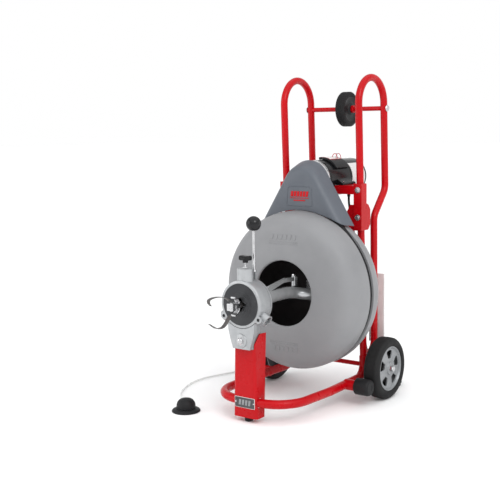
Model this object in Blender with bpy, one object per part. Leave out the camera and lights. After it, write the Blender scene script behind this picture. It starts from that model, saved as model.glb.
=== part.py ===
"""Upright drum drain-cleaning machine on a two-wheeled tube frame.

Metres, +Z up, floor at z = 0. The feed head faces -Y and the operator's handles stand at +Y.
The drum turns about a line along Y, the wheels about a line along X.
"""
import math

import bmesh
import bpy
from mathutils import Matrix, Vector

GAP = 0.0003                      # between touching pieces
MIDDLE_Y = 0.0126                 # brings the middle of the machine's depth to y = 0

# Frame
TUBE_R = 0.0127                   # handle and leg tube
TUBE_X = 0.156                    # centre of each side tube
LEAN = 0.0392                     # the legs lean forward going up
LOOP_Z = 1.0435                   # where the handle loop starts
LOOP_R = 0.090
FRONT_Y_AT_LOOP = 0.1915
BASE_R = 0.015
BASE_Z = 0.068
BASE_FRONT_Y = -0.262
AXLE_R = 0.008
AXLE_Y = 0.2276
CROSSBAR_R = 0.0083
CROSSBAR_Z = 1.0265

# Wheels
WHEEL_R = 0.110
WHEEL_IN = 0.212
WHEEL_OUT = 0.271
RIM_R = 0.079
LOADER_R = 0.0638                 # small wheel on the crossbar
LOADER_W = 0.036
LOADER_X = 0.003

# Drum and drive
DRUM_Z = 0.397
DRUM_R = 0.278
MOUTH_R = 0.114
GROOVE_R = 0.2642
GROOVE_Y = (0.0600, 0.0830)
BELT_Y = (0.0625, 0.0805)
BELT_T = 0.0075
SHAFT_Z = 0.780
SHAFT_R = 0.008
PULLEY_R = 0.0232                 # bottom of the pulley's groove

# Motor on its plate
PLATE_Z = 0.757
MOTOR_R = 0.067

# Feed head
HEAD_R = 0.079
HEAD_Y = (-0.297, -0.238)
BOSS_Y = -0.267
CABLE_R = 0.008

# Post
POST_Y = -0.281
POST_Z = 0.0163
SHEET = 0.0025

# Foot pedal
PEDAL = (-0.2445, -0.293)

RED = ((0.62, 0.02, 0.03, 1), 0.35, 0.0)
BLACK = ((0.02, 0.02, 0.022, 1), 0.5, 0.0)
RUBBER = ((0.04, 0.04, 0.045, 1), 0.75, 0.0)
DRUM_GREY = ((0.36, 0.36, 0.38, 1), 0.6, 0.0)
GUARD_GREY = ((0.20, 0.22, 0.25, 1), 0.5, 0.0)
CAST = ((0.60, 0.61, 0.62, 1), 0.4, 0.8)
STEEL = ((0.55, 0.55, 0.56, 1), 0.3, 1.0)
DARK_STEEL = ((0.12, 0.12, 0.13, 1), 0.45, 0.6)
WHITE = ((0.8, 0.8, 0.8, 1), 0.5, 0.0)
CLEAR = ((0.75, 0.76, 0.76, 1), 0.3, 0.0)


def material(finish):
    """One Principled material for each finish, shared by its objects."""
    colour, roughness, metallic = finish
    name = "finish_%02d_%02d_%02d" % tuple(round(c * 99) for c in colour[:3])
    mat = bpy.data.materials.get(name)
    if mat is None:
        mat = bpy.data.materials.new(name)
        mat.use_nodes = True
        shader = mat.node_tree.nodes["Principled BSDF"]
        shader.inputs["Base Color"].default_value = colour
        shader.inputs["Roughness"].default_value = roughness
        shader.inputs["Metallic"].default_value = metallic
    return mat


def add(name, verts, faces, finish, origin=(0, 0, 0)):
    """An object from points and faces, with its origin where its joint is."""
    origin = Vector(origin)
    mesh = bpy.data.meshes.new(name)
    mesh.from_pydata([Vector(v) - origin for v in verts], [], faces)
    bm = bmesh.new()
    bm.from_mesh(mesh)
    bmesh.ops.recalc_face_normals(bm, faces=bm.faces)
    bm.to_mesh(mesh)
    bm.free()
    mesh.shade_smooth()
    mesh.set_sharp_from_angle(angle=math.radians(35))
    obj = bpy.data.objects.new(name, mesh)
    bpy.context.collection.objects.link(obj)
    obj.location = origin
    obj.parent = machine
    mesh.materials.append(material(finish))
    return obj


def combine(obj, other, operation):
    """Joins another shape to an object, or cuts it away."""
    other.hide_render = True
    other.display_type = "WIRE"
    mod = obj.modifiers.new(other.name, "BOOLEAN")
    mod.operation = operation
    mod.solver = "EXACT"
    mod.object = other
    return obj


def cut(obj, *tools):
    for tool in tools:
        combine(obj, tool, "DIFFERENCE")
    return obj


def unite(obj, *others):
    for other in others:
        combine(obj, other, "UNION")
    return obj


def place(axis, radius, angle, along):
    """A point at a radius and angle about a line along X, Y or Z."""
    a = radius * math.cos(angle)
    b = radius * math.sin(angle)
    return {"X": (along, a, b), "Y": (a, along, b), "Z": (a, b, along)}[axis]


def turned(name, profile, finish, axis, centre=(0, 0, 0), segments=20):
    """Turns a closed profile of (radius, distance along the axis) about its axis."""
    centre = Vector(centre)
    verts = []
    rings = []
    for radius, along in profile:
        if radius < 1e-6:
            rings.append([len(verts)] * segments)
            verts.append(centre + Vector(place(axis, 0, 0, along)))
            continue
        rings.append(range(len(verts), len(verts) + segments))
        for i in range(segments):
            verts.append(centre + Vector(place(axis, radius, math.tau * i / segments, along)))
    faces = []
    for k, ring in enumerate(rings):
        other = rings[(k + 1) % len(rings)]
        for i in range(segments):
            j = (i + 1) % segments
            corners = [ring[i], ring[j], other[j], other[i]]
            corners = [c for n, c in enumerate(corners) if c != corners[n - 1]]
            if len(corners) > 2:
                faces.append(corners)
    return add(name, verts, faces, finish, centre)


def rod(name, axis, centre, radius, low, high, finish=STEEL, segments=12):
    """A solid round bar between two distances along an axis."""
    profile = [(0, low), (radius, low), (radius, high), (0, high)]
    return turned(name, profile, finish, axis, centre, segments)


def ring(name, axis, centre, inner, outer, low, high, finish=STEEL, segments=20):
    """A round bar with a bore."""
    profile = [(inner, low), (outer, low), (outer, high), (inner, high)]
    return turned(name, profile, finish, axis, centre, segments)


def prism(name, outline, plane, low, high, finish=RED, origin=(0, 0, 0)):
    """Extrudes a flat outline along the axis that its plane leaves out."""
    def point(pair, depth):
        a, b = pair
        return {"XZ": (a, depth, b), "YZ": (depth, a, b), "XY": (a, b, depth)}[plane]
    count = len(outline)
    verts = [point(p, low) for p in outline] + [point(p, high) for p in outline]
    faces = [list(range(count)), list(range(count, 2 * count))]
    for i in range(count):
        j = (i + 1) % count
        faces.append([i, j, j + count, i + count])
    return add(name, verts, faces, finish, origin)


def block(name, low, high, finish=RED, origin=(0, 0, 0)):
    outline = [(low[0], low[1]), (high[0], low[1]), (high[0], high[1]), (low[0], high[1])]
    return prism(name, outline, "XY", low[2], high[2], finish, origin)


def arc(centre, radius, start, end, count):
    """Points on a circle between two angles in degrees."""
    points = []
    for i in range(count + 1):
        a = math.radians(start + (end - start) * i / count)
        points.append((centre[0] + radius * math.cos(a), centre[1] + radius * math.sin(a)))
    return points


def rounded(corners, steps=6):
    """A path through corners, each given as (point, bend radius)."""
    points = [Vector(p) for p, _ in corners]
    path = [points[0]]
    for k in range(1, len(corners) - 1):
        radius = corners[k][1]
        before = (points[k - 1] - points[k]).normalized()
        after = (points[k + 1] - points[k]).normalized()
        half = before.angle(after) / 2
        reach = radius / math.tan(half)
        middle = points[k] + (before + after).normalized() * (radius / math.sin(half))
        start = points[k] + before * reach - middle
        turn = math.pi - 2 * half
        axis = start.cross(points[k] + after * reach - middle).normalized()
        for i in range(steps + 1):
            path.append(middle + Matrix.Rotation(turn * i / steps, 3, axis) @ start)
    path.append(points[-1])
    return path


def swept(name, path, radius, finish=RED, sides=12, bore=None):
    """A round tube along a path, closed at its ends, with an open bore if one is given."""
    path = [Vector(p) for p in path]
    tangents = []
    for i, point in enumerate(path):
        after = path[min(i + 1, len(path) - 1)]
        before = path[max(i - 1, 0)]
        tangents.append((after - before).normalized())
    side = tangents[0].orthogonal().normalized()
    frames = []
    for i, tangent in enumerate(tangents):
        side = (side - tangent * side.dot(tangent)).normalized()
        frames.append((side.copy(), tangent.cross(side)))
    verts = []
    skins = [radius] if bore is None else [radius, bore]
    for r in skins:
        for point, (a, b) in zip(path, frames):
            for i in range(sides):
                angle = math.tau * i / sides
                verts.append(point + a * r * math.cos(angle) + b * r * math.sin(angle))
    count = len(path)
    faces = []
    for skin in range(len(skins)):
        base = skin * count * sides
        for k in range(count - 1):
            for i in range(sides):
                j = (i + 1) % sides
                low = base + k * sides
                faces.append([low + i, low + j, low + sides + j, low + sides + i])
    last = (count - 1) * sides
    if bore is None:
        faces.append(list(range(sides)))
        faces.append(list(range(last, last + sides)))
    else:
        inner = count * sides
        for i in range(sides):
            j = (i + 1) % sides
            faces.append([i, j, inner + j, inner + i])
            faces.append([last + i, last + j, inner + last + j, inner + last + i])
    return add(name, verts, faces, finish)


def smooth_route(points, spacing):
    """Points at an even spacing along a smooth curve through the route's own points."""
    points = [Vector(p) for p in points]
    ends = [points[0] * 2 - points[1]] + points + [points[-1] * 2 - points[-2]]
    fine = []
    for k in range(1, len(ends) - 2):
        a, b, c, d = ends[k - 1:k + 3]
        for i in range(40):
            t = i / 40
            fine.append(0.5 * (2 * b + (c - a) * t + (2 * a - 5 * b + 4 * c - d) * t * t
                               + (3 * b - a - 3 * c + d) * t ** 3))
    fine.append(points[-1])
    total = sum((q - p).length for p, q in zip(fine, fine[1:]))
    count = max(2, round(total / spacing))
    result = [fine[0]]
    walked = 0.0
    for p, q in zip(fine, fine[1:]):
        step = (q - p).length
        while walked + step >= total * len(result) / count and len(result) < count:
            result.append(p.lerp(q, (total * len(result) / count - walked) / step))
        walked += step
    result.append(fine[-1])
    return result


def cord(name, route, radius, finish, spacing):
    """A free cord as a curve with a round bevel and closed ends."""
    path = smooth_route(route, spacing)
    curve = bpy.data.curves.new(name, "CURVE")
    curve.dimensions = "3D"
    curve.bevel_depth = radius
    curve.bevel_resolution = 2
    curve.use_fill_caps = True
    spline = curve.splines.new("POLY")
    spline.points.add(len(path) - 1)
    for target, point in zip(spline.points, path):
        target.co = (point.x, point.y, point.z, 1)
    obj = bpy.data.objects.new(name, curve)
    bpy.context.collection.objects.link(obj)
    obj.parent = machine
    curve.materials.append(material(finish))
    return obj


def front_leg_y(z):
    return FRONT_Y_AT_LOOP + (LOOP_Z - z) * LEAN


def rear_leg_y(z):
    return front_leg_y(z) + 2 * LOOP_R


def make_frame_tube(name, side):
    """One side's tube: up the front leg, round the handle loop and down the cranked rear leg."""
    x = side * TUBE_X
    foot_z = 0.1403
    crank = [((x, rear_leg_y(0.735), 0.735), 0.050), ((x, 0.301, 0.642), 0.050),
             ((x, 0.306, 0.142), 0.045), ((x, 0.2445, 0.142), 0)]
    loop = arc((FRONT_Y_AT_LOOP + LOOP_R, LOOP_Z), LOOP_R, 180, 0, 10)
    path = [Vector((x, front_leg_y(foot_z), foot_z))]
    path += [Vector((x, y, z)) for y, z in loop]
    path += rounded([(path[-1], 0)] + crank, 4)[1:]
    tube = swept(name, path, TUBE_R)
    hole = rod(name + "_hole", "X", (0, rear_leg_y(CROSSBAR_Z), CROSSBAR_Z), CROSSBAR_R + GAP,
               x - 0.03, x + 0.03, segments=12)
    return cut(tube, hole)


def make_base():
    """The thicker tube round the floor: from one axle end, round behind the post, to the other."""
    right = [((TUBE_X, front_leg_y(0.14), 0.14), 0), ((TUBE_X, 0.229, BASE_Z), 0.045),
             ((0.166, -0.02, BASE_Z), 0.30), ((0.150, BASE_FRONT_Y, BASE_Z), 0.115)]
    left = [((-p[0], p[1], p[2]), r) for p, r in reversed(right)]
    base = swept("base_tube", rounded(right + left, 5), BASE_R)
    stubs = []
    for label, side in (("left", -1), ("right", 1)):
        ends = sorted((side * 0.160, side * 0.1915))
        stubs.append(rod("bumper_stub_" + label, "X", (0, 0.094, BASE_Z), 0.020, *ends))
        low, high = sorted((side * (0.1915 + GAP), side * 0.262))
        profile = [(0, low), (0.026, low), (0.029, low + 0.003), (0.029, high - 0.003),
                   (0.026, high), (0, high)]
        turned("bumper_" + label, profile, RUBBER, "X", (0, 0.094, BASE_Z), 20)
    unite(base, *stubs)
    cut(base, rod("axle_hole", "X", (0, AXLE_Y, WHEEL_R), AXLE_R + GAP, -0.2, 0.2, segments=12))


def make_crossbar():
    y = rear_leg_y(CROSSBAR_Z)
    rod("crossbar", "X", (0, y, CROSSBAR_Z), CROSSBAR_R, -0.173, 0.173, RED, 12)
    half = LOADER_W / 2
    bore = CROSSBAR_R + GAP
    profile = [(bore, -half - 0.003), (0.020, -half - 0.003), (0.022, -half), (0.048, -half + 0.002),
               (0.056, -half), (LOADER_R, -half + 0.008), (LOADER_R, half - 0.008),
               (0.056, half), (0.048, half - 0.002), (0.022, half), (0.020, half + 0.003),
               (bore, half + 0.003)]
    turned("loading_wheel", profile, RUBBER, "X", (LOADER_X, y, CROSSBAR_Z), 24)


def make_wheels():
    rod("axle", "X", (0, AXLE_Y, WHEEL_R), AXLE_R, -WHEEL_OUT - 0.0002, WHEEL_OUT + 0.0002, RED)
    for label, side in (("left", -1), ("right", 1)):
        centre = (side * (WHEEL_IN + WHEEL_OUT) / 2, AXLE_Y, WHEEL_R)
        half = (WHEEL_OUT - WHEEL_IN) / 2
        tread = [(RIM_R, -half + 0.004), (0.090, -half), (0.103, -half + 0.003),
                 (0.1085, -half + 0.010), (WHEEL_R, -0.010), (WHEEL_R, 0.010),
                 (0.1085, half - 0.010), (0.103, half - 0.003), (0.090, half), (RIM_R, half - 0.004)]
        turned("tyre_" + label, tread, RUBBER, "X", centre, 36)
        rim = RIM_R - GAP
        out = side * (half - 0.006)
        web = side * (half - 0.012)
        far = -side * (half - 0.006)
        profile = [(AXLE_R + GAP, far), (0.019, far), (0.019, web), (rim - 0.007, web), (rim - 0.007, far),
                   (rim, far), (rim, out), (rim - 0.006, out), (rim - 0.009, out - side * 0.002),
                   (0.024, out - side * 0.002), (0.022, out + side * 0.004), (AXLE_R + GAP, out + side * 0.004)]
        hub = turned("wheel_hub_" + label, profile, CAST, "X", centre, 24)
        for i in range(5):
            angle = math.radians(90 + 72 * i)
            spot = Vector(centre) + Vector((0, 0.050 * math.cos(angle), 0.050 * math.sin(angle)))
            cut(hub, rod("window_%s_%d" % (label, i), "X", spot, 0.013, -0.03, 0.03, segments=10))
        low, high = sorted((side * (WHEEL_OUT + 0.0005), side * 0.2795))
        turned("axle_nut_" + label, [(0, low), (0.011, low), (0.011, high), (0, high)], STEEL, "X",
               (0, AXLE_Y, WHEEL_R), 6)


def make_brackets():
    """Folded brackets on the front legs, the motor's plate and the panel that carries the drum."""
    for label, side in (("left", -1), ("right", 1)):
        low, high = sorted((side * 0.140, side * 0.172))
        bracket = block("side_bracket_" + label, (low, 0.1840, 0.600), (high, 0.1868, 0.765))
        flange = [(0.1840, 0.600), (0.232, 0.600), (0.247, 0.618), (0.247, 0.672), (0.232, 0.690),
                  (0.220, 0.694), (0.220, 0.765), (0.1840, 0.765)]
        low, high = sorted((side * 0.1692, side * 0.172))
        unite(bracket, prism("bracket_flange_" + label, flange, "YZ", low, high))
        glide = [(side * 0.125, 0.3225), (side * 0.187, 0.3225), (side * 0.187, 0.3285),
                 (side * 0.183, 0.3325), (side * 0.129, 0.3325), (side * 0.125, 0.3285)]
        prism("glide_" + label, glide, "XY", 0.175, 0.430, WHITE)
    arms = [(0.068, 0.1868), (0.068, 0.305), (0.095, 0.305), (0.1397, 0.240), (0.1397, 0.1840)]
    plate = prism("motor_plate", arms + [(-x, y) for x, y in reversed(arms)], "XY", PLATE_Z - 0.003, PLATE_Z)
    flange = [(0.1397, PLATE_Z), (0.1397, 0.727), (0.055, 0.727), (0.055, 0.695)]
    unite(plate, prism("plate_flange", flange + [(-x, z) for x, z in reversed(flange)], "XZ", 0.1840, 0.1868))
    cut(plate, rod("belly_clearance", "Y", (0, 0, SHAFT_Z), MOTOR_R + 2 * GAP, 0.18, 0.31, segments=48))
    outline = [(-0.1397, 0.600), (-0.1397, 0.690), (-0.125, 0.690), (-0.105, 0.655), (0.105, 0.655),
               (0.125, 0.690), (0.1397, 0.690), (0.1397, 0.600), (0.060, 0.455), (0.1397, 0.440),
               (0.1397, 0.352), (0.050, 0.335), (-0.050, 0.335), (-0.1397, 0.352),
               (-0.1397, 0.440), (-0.060, 0.455)]
    panel = prism("bearing_panel", outline, "XZ", 0.1875, 0.1910)
    cut(panel, rod("bearing_seat", "Y", (0, 0, DRUM_Z), 0.0283, 0.17, 0.21, segments=20))
    ring("drum_bearing", "Y", (0, 0, DRUM_Z), 0.0128, 0.0280, 0.1850, 0.2020, STEEL)


def make_drum():
    """Two moulded halves that meet at the belt's groove, and the hub that carries them."""
    centre = (0, 0, DRUM_Z)
    low, high = GROOVE_Y
    front = [(MOUTH_R, -0.048), (MOUTH_R + 0.006, -0.0560), (0.185, -0.0505), (0.224, -0.0470),
             (0.246, -0.0380), (0.261, -0.0215), (0.2715, -0.0060), (0.277, 0.0120),
             (DRUM_R, 0.0350), (DRUM_R, low), (GROOVE_R, low), (GROOVE_R, high),
             (GROOVE_R - 0.005, high), (GROOVE_R - 0.005, 0.0150), (0.2535, -0.0140),
             (0.238, -0.0310), (0.183, -0.0450)]
    turned("drum_front_half", front, DRUM_GREY, "Y", centre, 48)
    rear = [(DRUM_R, high + GAP), (0.2785, 0.1000), (0.272, 0.1250), (0.254, 0.1480), (0.225, 0.1640),
            (0.180, 0.1730), (0.0400, 0.1750), (0.0400, 0.1700), (0.180, 0.1680), (0.248, 0.1440),
            (0.268, 0.1150), (0.268, high + GAP)]
    turned("drum_rear_half", rear, DRUM_GREY, "Y", centre, 48)
    hub = [(0, 0.1500), (0.0397, 0.1500), (0.0397, 0.1753), (0.070, 0.1753), (0.070, 0.1790),
           (0.020, 0.1820), (0.0125, 0.1840), (0.0125, 0.2350), (0, 0.2350)]
    turned("drum_hub_shaft", hub, STEEL, "Y", centre)
    coil = [(0.216, 0.0120), (0.236, 0.0080), (0.251, 0.0240), (0.2555, 0.0450), (0.2555, 0.1000),
            (0.246, 0.1260), (0.216, 0.1300)]
    turned("cable_coil", coil, DARK_STEEL, "Y", centre, 32)


def belt_outline(drum_radius, pulley_radius):
    """An open belt round two circles, as one loop of points in X and Z."""
    distance = SHAFT_Z - DRUM_Z
    tilt = math.degrees(math.asin((drum_radius - pulley_radius) / distance))
    around_drum = arc((0, DRUM_Z), drum_radius, 180 - tilt, 360 + tilt, 60)
    around_pulley = arc((0, SHAFT_Z), pulley_radius, tilt, 180 - tilt, 10)
    return around_drum + around_pulley


def make_belt():
    inner = belt_outline(GROOVE_R + GAP, PULLEY_R + GAP)
    outer = belt_outline(GROOVE_R + GAP + BELT_T, PULLEY_R + GAP + BELT_T)
    count = len(inner)
    verts = []
    for loop, y in ((inner, BELT_Y[0]), (outer, BELT_Y[0]), (outer, BELT_Y[1]), (inner, BELT_Y[1])):
        verts += [(x, y, z) for x, z in loop]
    faces = []
    for k in range(4):
        for i in range(count):
            j = (i + 1) % count
            a = k * count
            b = (k + 1) % 4 * count
            faces.append([a + i, a + j, b + j, b + i])
    add("drive_belt", verts, faces, RUBBER)


def make_motor():
    """The motor lying in its plate's window, with its switch on top, its shaft and its pulley."""
    shaft = (0, 0, SHAFT_Z)
    inside = MOTOR_R - 0.003
    shell = [(inside, 0.1480), (MOTOR_R, 0.1480), (MOTOR_R, 0.4050), (0.062, 0.4150), (0.040, 0.4195),
             (0, 0.4210), (0, 0.4175), (0.038, 0.4160), (0.058, 0.4120), (inside, 0.4030)]
    cover = turned("motor_cover", shell, BLACK, "Y", shaft, 40)
    for label, side in (("left", -1), ("right", 1)):
        foot = arc((0, SHAFT_Z), MOTOR_R - 0.0015, -20, 0, 4)
        foot += [(0.072, 0.7750), (0.090, 0.7640), (0.090, PLATE_Z + GAP)]
        outline = [(side * x, z) for x, z in foot]
        unite(cover, prism("motor_foot_" + label, outline, "XZ", 0.195, 0.285, BLACK))
    bell = [(0.0100, 0.1160), (0.0600, 0.1160), (MOTOR_R, 0.1230), (MOTOR_R, 0.1477), (inside, 0.1477),
            (inside, 0.1250), (0.0100, 0.1250)]
    turned("motor_end_plate", bell, CAST, "Y", shaft, 40)
    ring("motor_core", "Y", shaft, SHAFT_R + GAP, inside - GAP, 0.170, 0.370, DARK_STEEL, 40)
    rod("motor_shaft", "Y", shaft, SHAFT_R, 0.0575, 0.380)
    rim = PULLEY_R + 0.0115
    groove = (BELT_Y[0] - GAP, BELT_Y[1] + GAP)
    profile = [(SHAFT_R + GAP, 0.0580), (rim, 0.0580), (rim, groove[0] - 0.0005), (PULLEY_R, groove[0]),
               (PULLEY_R, groove[1]), (rim, groove[1] + 0.0005), (rim, 0.0850), (SHAFT_R + GAP, 0.0850)]
    turned("motor_pulley", profile, CAST, "Y", shaft, 24)
    saddle = arc((0, SHAFT_Z), MOTOR_R + GAP, 30, 100, 10) + arc((0, SHAFT_Z), 0.076, 100, 30, 10)
    prism("switch_box", saddle, "XZ", 0.195, 0.285, BLACK)
    bat = [(0, 0.0012), (0.0024, 0.0016), (0.0026, 0.0080), (0.0036, 0.0140), (0.0030, 0.0170), (0, 0.0178)]
    turned("toggle_switch", bat, STEEL, "Z", (0.0235, 0.262, 0.8523), 12)


def guard_outline(centre_z, radius, slope, tip_r):
    """A rounded peak with straight sides, down to a flat edge a given distance from the drum's axis."""
    a = math.radians(slope)
    start = Vector((radius * math.cos(a), centre_z + radius * math.sin(a) - DRUM_Z))
    down = Vector((math.sin(a), -math.cos(a)))
    half_b = start.dot(down)
    reach = -half_b - math.sqrt(half_b ** 2 - start.dot(start) + tip_r ** 2)
    tip = start + down * reach
    peak = arc((0, centre_z), radius, slope, 180 - slope, 14)
    return [(tip.x, tip.y + DRUM_Z)] + peak + [(-tip.x, tip.y + DRUM_Z)]


def lofted(name, front, front_y, rear, rear_y, finish):
    """A solid between two outlines that have the same number of points."""
    count = len(front)
    verts = [(x, front_y, z) for x, z in front] + [(x, rear_y, z) for x, z in rear]
    faces = [list(range(count)), list(range(count, 2 * count))]
    for i in range(count):
        j = (i + 1) % count
        faces.append([i, j, j + count, i + count])
    return add(name, verts, faces, finish)


def make_guard():
    """The belt's cover, cut out underneath to follow the drum, with two ears that reach the motor."""
    wall = 0.0025
    front_y, rear_y = 0.0520, 0.1150
    front = guard_outline(0.753, 0.073, 32.2, 0.2840)
    rear = guard_outline(0.7625, 0.0855, 31.2, 0.2903)
    guard = lofted("belt_guard", front, front_y, rear, rear_y, GUARD_GREY)
    inner_front = guard_outline(0.753, 0.073 - wall, 32.2, 0.2780)
    inner_rear = guard_outline(0.7625, 0.0855 - wall, 31.2, 0.2780)
    cut(guard, lofted("guard_space", inner_front, front_y + wall, inner_rear, rear_y + 0.001, GUARD_GREY),
        rod("drum_clearance", "Y", (0, 0, DRUM_Z), 0.2815, 0.04, 0.13, GUARD_GREY, 96))
    for label, side in (("left", -1), ("right", 1)):
        low, high = sorted((side * 0.052, side * 0.0835))
        unite(guard, block("guard_ear_" + label, (low, rear_y - wall, 0.770), (high, rear_y + 0.0007, 0.790)))


def make_post():
    """The folded sheet post with its foot, and the cast yoke that stands in its top."""
    top_z = 0.2495
    outline = [(POST_Y, POST_Z), (-0.238, POST_Z), (-0.213, 0.2945), (-0.247, 0.2965), (POST_Y, 0.262)]

    def half_width(z):
        return 0.048 - 0.0066 * (z - POST_Z) / (top_z - POST_Z)

    def shell(name, points, inset):
        count = len(points)
        verts = [(-half_width(z) + inset, y, z) for y, z in points]
        verts += [(half_width(z) - inset, y, z) for y, z in points]
        faces = [list(range(count)), list(range(count, 2 * count))]
        faces += [[i, (i + 1) % count, (i + 1) % count + count, i + count] for i in range(count)]
        return add(name, verts, faces, RED)

    post = shell("front_post", outline, 0)
    inner_y = POST_Y + SHEET
    inside = [(inner_y, POST_Z + SHEET), (-0.200, POST_Z + SHEET), (-0.200, 0.31), (inner_y, 0.31)]
    cut(post, shell("post_space", inside, SHEET),
        block("post_top_cut", (-0.0385, POST_Y - 0.01, top_z), (0.0385, -0.27, 0.31)),
        rod("base_hole", "X", (0, BASE_FRONT_Y, BASE_Z), BASE_R + 4 * GAP, -0.06, 0.06, segments=24))
    foot = [(0, 0), (0.0115, 0), (0.0145, 0.003), (0.0140, 0.012), (0.0120, POST_Z - GAP), (0, POST_Z - GAP)]
    turned("rubber_foot", foot, RUBBER, "Z", (0, -0.259, 0), 20)

    seat = arc((0, DRUM_Z), HEAD_R + GAP, 360 - 46, 180 + 46, 10)
    front = [(-0.034, top_z + GAP), (0.034, top_z + GAP), (0.052, 0.312)]
    yoke = prism("head_yoke", front + seat + [(-0.052, 0.312)], "XZ", -0.2960, POST_Y - GAP, CAST)
    narrow = [(-0.0368, top_z + GAP), (0.0368, top_z + GAP)] + arc((0, DRUM_Z), HEAD_R + GAP, 297, 243, 8)
    unite(yoke, prism("yoke_middle", narrow, "XZ", POST_Y - 0.002, -0.2385, CAST),
          block("yoke_tongue", (-0.036, inner_y + GAP, 0.190), (0.036, -0.236, 0.262), CAST),
          rod("yoke_boss", "Y", (0, 0, 0.2775), 0.0227, -0.3012, -0.290, CAST, 20))


def radial_rod(name, angle, radius, low, high, finish=CAST, segments=12):
    """A round bar that points away from the feed head's axis."""
    a = math.radians(angle)
    direction = Vector((math.cos(a), 0, math.sin(a)))
    centre = Vector((0, BOSS_Y, DRUM_Z))
    verts = []
    for distance in (low, high):
        for i in range(segments):
            t = math.tau * i / segments
            across = direction.cross(Vector((0, 1, 0))) * math.cos(t) + Vector((0, 1, 0)) * math.sin(t)
            verts.append(centre + direction * distance + across * radius)
    faces = [list(range(segments)), list(range(segments, 2 * segments))]
    for i in range(segments):
        j = (i + 1) % segments
        faces.append([i, j, j + segments, i + segments])
    return add(name, verts, faces, finish)


def make_head():
    """The feed head: cast housing, front disc, three rollers round the cable, and its two controls."""
    centre = (0, 0, DRUM_Z)
    low, high = HEAD_Y
    housing = [(HEAD_R, low + 0.003), (HEAD_R, high), (0.030, high), (0.030, high - 0.006), (0.073, high - 0.006),
               (0.073, -0.284), (0.064, -0.284), (0.064, -0.2901), (0.0691, -0.2901), (0.0691, low),
               (HEAD_R - 0.002, low)]
    body = turned("feed_head_housing", housing, CAST, "Y", centre, 36)
    unite(body, radial_rod("top_boss", 90, 0.0275, 0.074, 0.115, segments=24))
    for angle in (-30, 210):
        unite(body, radial_rod("lower_boss_%d" % angle, angle, 0.0190, 0.074, 0.101),
              radial_rod("roller_holder_%d" % angle, angle, 0.0100, 0.0305, 0.080))
        cut(body, radial_rod("lower_bore_%d" % angle, angle, 0.0140, 0.086, 0.110))
    cut(body, radial_rod("plunger_bore", 90, 0.0128, 0.060, 0.104),
        radial_rod("stem_bore", 90, 0.0036, 0.100, 0.120, segments=10))

    count = 40
    verts = []
    for y in (-0.2994, -0.2904):
        for i in range(count):
            t = math.tau * i / count
            hole = 0.0180 + 0.0045 * math.cos(4 * t)
            verts.append((hole * math.cos(t), y, DRUM_Z + hole * math.sin(t)))
        for i in range(count):
            t = math.tau * i / count
            verts.append((0.0688 * math.cos(t), y, DRUM_Z + 0.0688 * math.sin(t)))
    faces = []
    for i in range(count):
        j = (i + 1) % count
        faces.append([i, j, count + j, count + i])
        faces.append([2 * count + i, 2 * count + j, 3 * count + j, 3 * count + i])
        faces.append([i, j, 2 * count + j, 2 * count + i])
        faces.append([count + i, count + j, 3 * count + j, 3 * count + i])
    add("feed_head_disc", verts, faces, DARK_STEEL)

    lever_y = -0.2337
    lever = ring("lever_ring", "Y", centre, 0.030, HEAD_R - 0.0007, high + 0.0004, -0.2297, CAST, 36)
    unite(lever, block("lever_socket", (0.0035, -0.2375, 0.468), (0.0175, -0.2275, 0.4970), CAST))
    rod("lever_rod", "Z", (0.0105, lever_y, 0), 0.0044, 0.4970 + GAP, 0.6330, STEEL, 12)
    ball = [(0, -0.0220)] + [(0.0249 * math.cos(math.radians(a)), 0.0249 * math.sin(math.radians(a)))
                             for a in range(-62, 90, 19)] + [(0, 0.0249)]
    turned("lever_knob", ball, BLACK, "Z", (0.0105, lever_y, 0.6553), 24)

    knob = block("tension_knob", (-0.021, BOSS_Y - 0.008, 0.5385), (0.021, BOSS_Y + 0.008, 0.5555), BLACK,
                 (0, BOSS_Y, 0))
    unite(knob, rod("knob_neck", "Z", (0, BOSS_Y, 0), 0.009, 0.5310, 0.5400, segments=12),
          rod("knob_stem", "Z", (0, BOSS_Y, 0), 0.0032, 0.4895, 0.5350, segments=10),
          rod("knob_nut", "Z", (0, BOSS_Y, 0), 0.010, 0.5125, 0.5165, segments=6))
    plunger = (0, BOSS_Y, DRUM_Z)
    rod("roller_plunger", "Z", plunger, 0.0124, 0.0325, 0.0920, CAST)
    rod("top_roller", "Y", (0, BOSS_Y, DRUM_Z + 0.0215), 0.0100, -0.014, 0.014, STEEL)
    for label, angle in (("right", -30), ("left", 210)):
        a = math.radians(angle)
        spot = (0.0195 * math.cos(a), BOSS_Y, DRUM_Z + 0.0195 * math.sin(a))
        rod("lower_roller_" + label, "Y", spot, 0.0100, -0.014, 0.014, STEEL)


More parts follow.
